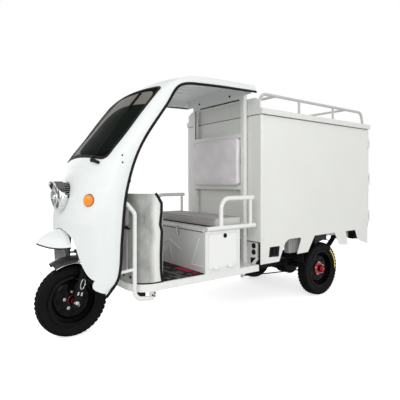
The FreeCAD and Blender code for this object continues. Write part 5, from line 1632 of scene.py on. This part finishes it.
def controllerFins():
    sizes = controllerSizes
    start, low, high = sizes["start"], sizes["low"], sizes["high"]
    form = Form()
    for k in range(sizes["fins"]):
        x = start + sizes["pitch"] * k
        wide = sizes["lastFin"] if k == sizes["fins"] - 1 else sizes["fin"]
        form.block((x, sizes["inner"], low), (x + wide, sizes["outer"], high), 0.0008)
    rear, ahead = sizes["lipX"]
    form.block((start + rear, sizes["lipY"], low), (start + ahead, sizes["outer"], high), 0.0004)
    rear, ahead = sizes["endX"]
    for k in range(sizes["endFins"]):
        y = sizes["endFrom"] + sizes["endPitch"] * k
        foot = (start + rear, y - sizes["endFin"], low + sizes["inset"])
        form.block(foot, (start + ahead, y + sizes["endFin"], high - sizes["inset"]), 0.0008)
    form.done("controller_fins", controlGrey, "chassis")


controllerFins()

# Tray under the floor, hung on six straps
traySizes = {
    "low": (-0.560, -0.300, 0.300), "high": (-0.060, 0.300, 0.352), "straps": (-0.52, -0.31, -0.10),
    "strap": (0.032, 0.006, 0.118), "strapY": 0.302, "strapZ": 0.361,
}


def bellyTray():
    sizes = traySizes
    form = Form().block(sizes["low"], sizes["high"], 0.004)
    for x in sizes["straps"]:
        for sign in (1, -1):
            form.brick((x, sign * sizes["strapY"], sizes["strapZ"]), sizes["strap"], 0.001)
    form.done("belly_tray", satinBlack, "chassis")


bellyTray()

# Rear axle: brake plates with their levers, spring clips and the motor's cooling fins
axleSizes = {
    "x": -0.828, "z": 0.245, "spring": 0.300, "plate": 0.342,
    "drum": [(0.030, 0.0), (0.088, 0.002), (0.093, 0.006), (0.093, 0.022), (0.088, 0.026)],
    "lever": [(0.035, 0.006, -0.02), (0.060, 0.010, -0.035), (0.084, 0.070, -0.036)],  # forward, inward, up
    "leverRadius": 0.0060,
    "clipPlaces": (-0.045, 0.045), "clipHalf": 0.034, "clipTall": 0.130, "clip": 0.0055,
    "fins": 29, "finFrom": -0.196, "finPitch": 0.014, "housing": 0.095,
    "fin": [(-0.004, -0.002), (0.004, -0.0015), (0.004, 0.0015), (-0.004, 0.002)],
}


def brakePlates():
    sizes = axleSizes
    form = Form()
    for sign in (1, -1):
        hub = Vector((sizes["x"], sign * sizes["plate"], sizes["z"]))
        form.turned(sizes["drum"], hub, (0, sign, 0), 48)
        run = [hub + Vector((x, -sign * y, z)) for x, y, z in sizes["lever"]]
        form.sweep(run, sizes["leverRadius"], 10)
    form.done("brake_plates", satinBlack, "chassis")


def springClips():  # two clips over each spring
    sizes = axleSizes
    form = Form()
    for sign in (1, -1):
        y = sign * sizes["spring"]
        for place in sizes["clipPlaces"]:
            spot, normal = onto("leaf_springs", (sizes["x"] + place, y, 0.7), (0, 0, -1))
            top = spot.z + 0.003
            foot = top - sizes["clipTall"]
            near, far = y - sizes["clipHalf"], y + sizes["clipHalf"]
            leg = [(spot.x, near, foot), (spot.x, near, top), (spot.x, far, top), (spot.x, far, foot)]
            form.sweep(rounded(leg, 0.010, 4), sizes["clip"], 10)
    form.done("spring_clips", satinBlack, "chassis")


def motorFins():  # rings round the motor's housing, wherever the axle is as thick as that
    sizes = axleSizes
    form = Form()
    for k in range(sizes["fins"]):
        hub = Vector((sizes["x"], sizes["finFrom"] + sizes["finPitch"] * k, sizes["z"]))
        spot, normal = onto("rear_axle", (hub.x, hub.y, 0), (0, 0, 1))
        radius = hub.z - spot.z
        if radius > sizes["housing"]:
            profile = [(radius + rise, along) for rise, along in sizes["fin"]]
            form.turned(profile, hub, (0, 1, 0), 64, loop=True)
    form.done("motor_fins", satinBlack, "chassis")


brakePlates()
springClips()
motorFins()

# What shows behind the skirts: rear brackets, ribbed relay case and mud flaps
skirtSizes = {
    "y": 0.410, "half": 0.030,
    "boxes": [  # rear, foot, front, top and bevel: the bracket and the relay case
        (-1.560, 0.470, -1.400, 0.548, 0.003),
        (-0.270, 0.432, -0.045, 0.560, 0.004),
    ],
    "ribs": (-0.235, -0.190, -0.145, -0.100), "rib": (0.012, 0.008, 0.112), "ribZ": 0.496,
    "flap": (0.006, 0.156, 0.190), "flapPlace": (-0.572, 0.380, 0.425),
}


def skirtFittings():
    sizes = skirtSizes
    form = Form()
    for sign in (1, -1):
        y = sign * sizes["y"]
        near, far = y - sizes["half"], y + sizes["half"]
        for rear, foot, ahead, top, bevel in sizes["boxes"]:
            form.block((rear, near, foot), (ahead, far, top), bevel)
        for x in sizes["ribs"]:
            form.brick((x, y + sign * sizes["half"], sizes["ribZ"]), sizes["rib"], 0.002)
        x, across, z = sizes["flapPlace"]
        form.brick((x, sign * across, z), sizes["flap"], 0.002)
    form.done("skirt_fittings", satinBlack, "chassis")


skirtFittings()
print("rear dressed")


# Pale floor that shows white to the camera and keeps the shadow
floorSizes = {"reach": 30, "glow": 0.66}


def makeFloor():
    material, shader, where = newFinish("floorPale", "floor", Roughness=0.9)
    seen = where.node("ShaderNodeLightPath", out="Is Camera Ray")
    shader.inputs["Base Color"].default_value = (0.82, 0.82, 0.82, 1)
    shader.inputs["Emission Color"].default_value = (1, 1, 1, 1)
    tree = material.node_tree
    tree.links.new((seen * floorSizes["glow"]).socket, shader.inputs["Emission Strength"])
    mesh = bpy.data.meshes.new("floor")
    reach = floorSizes["reach"]
    corners = [(-reach, -reach, 0), (reach, -reach, 0), (reach, reach, 0), (-reach, reach, 0)]
    mesh.from_pydata(corners, [], [(0, 1, 2, 3)])
    mesh.materials.append(material)
    floor = bpy.data.objects.new("floor", mesh)
    scene.collection.objects.link(floor)


makeFloor()

worldSizes = {"light": 0.62, "seen": 1.0}  # white that lights the part, and white that the camera sees


def makeWorld():
    world = bpy.data.worlds.new("studio")
    world.use_nodes = True
    scene.world = world
    tree = world.node_tree
    tree.nodes.clear()
    paths = tree.nodes.new("ShaderNodeLightPath")
    mix = tree.nodes.new("ShaderNodeMixShader")
    out = tree.nodes.new("ShaderNodeOutputWorld")
    tree.links.new(paths.outputs["Is Camera Ray"], mix.inputs[0])
    for place, strength in ((1, worldSizes["light"]), (2, worldSizes["seen"])):
        white = tree.nodes.new("ShaderNodeBackground")
        white.inputs["Color"].default_value = (1, 1, 1, 1)
        white.inputs["Strength"].default_value = strength
        tree.links.new(white.outputs[0], mix.inputs[place])
    tree.links.new(mix.outputs[0], out.inputs["Surface"])


makeWorld()
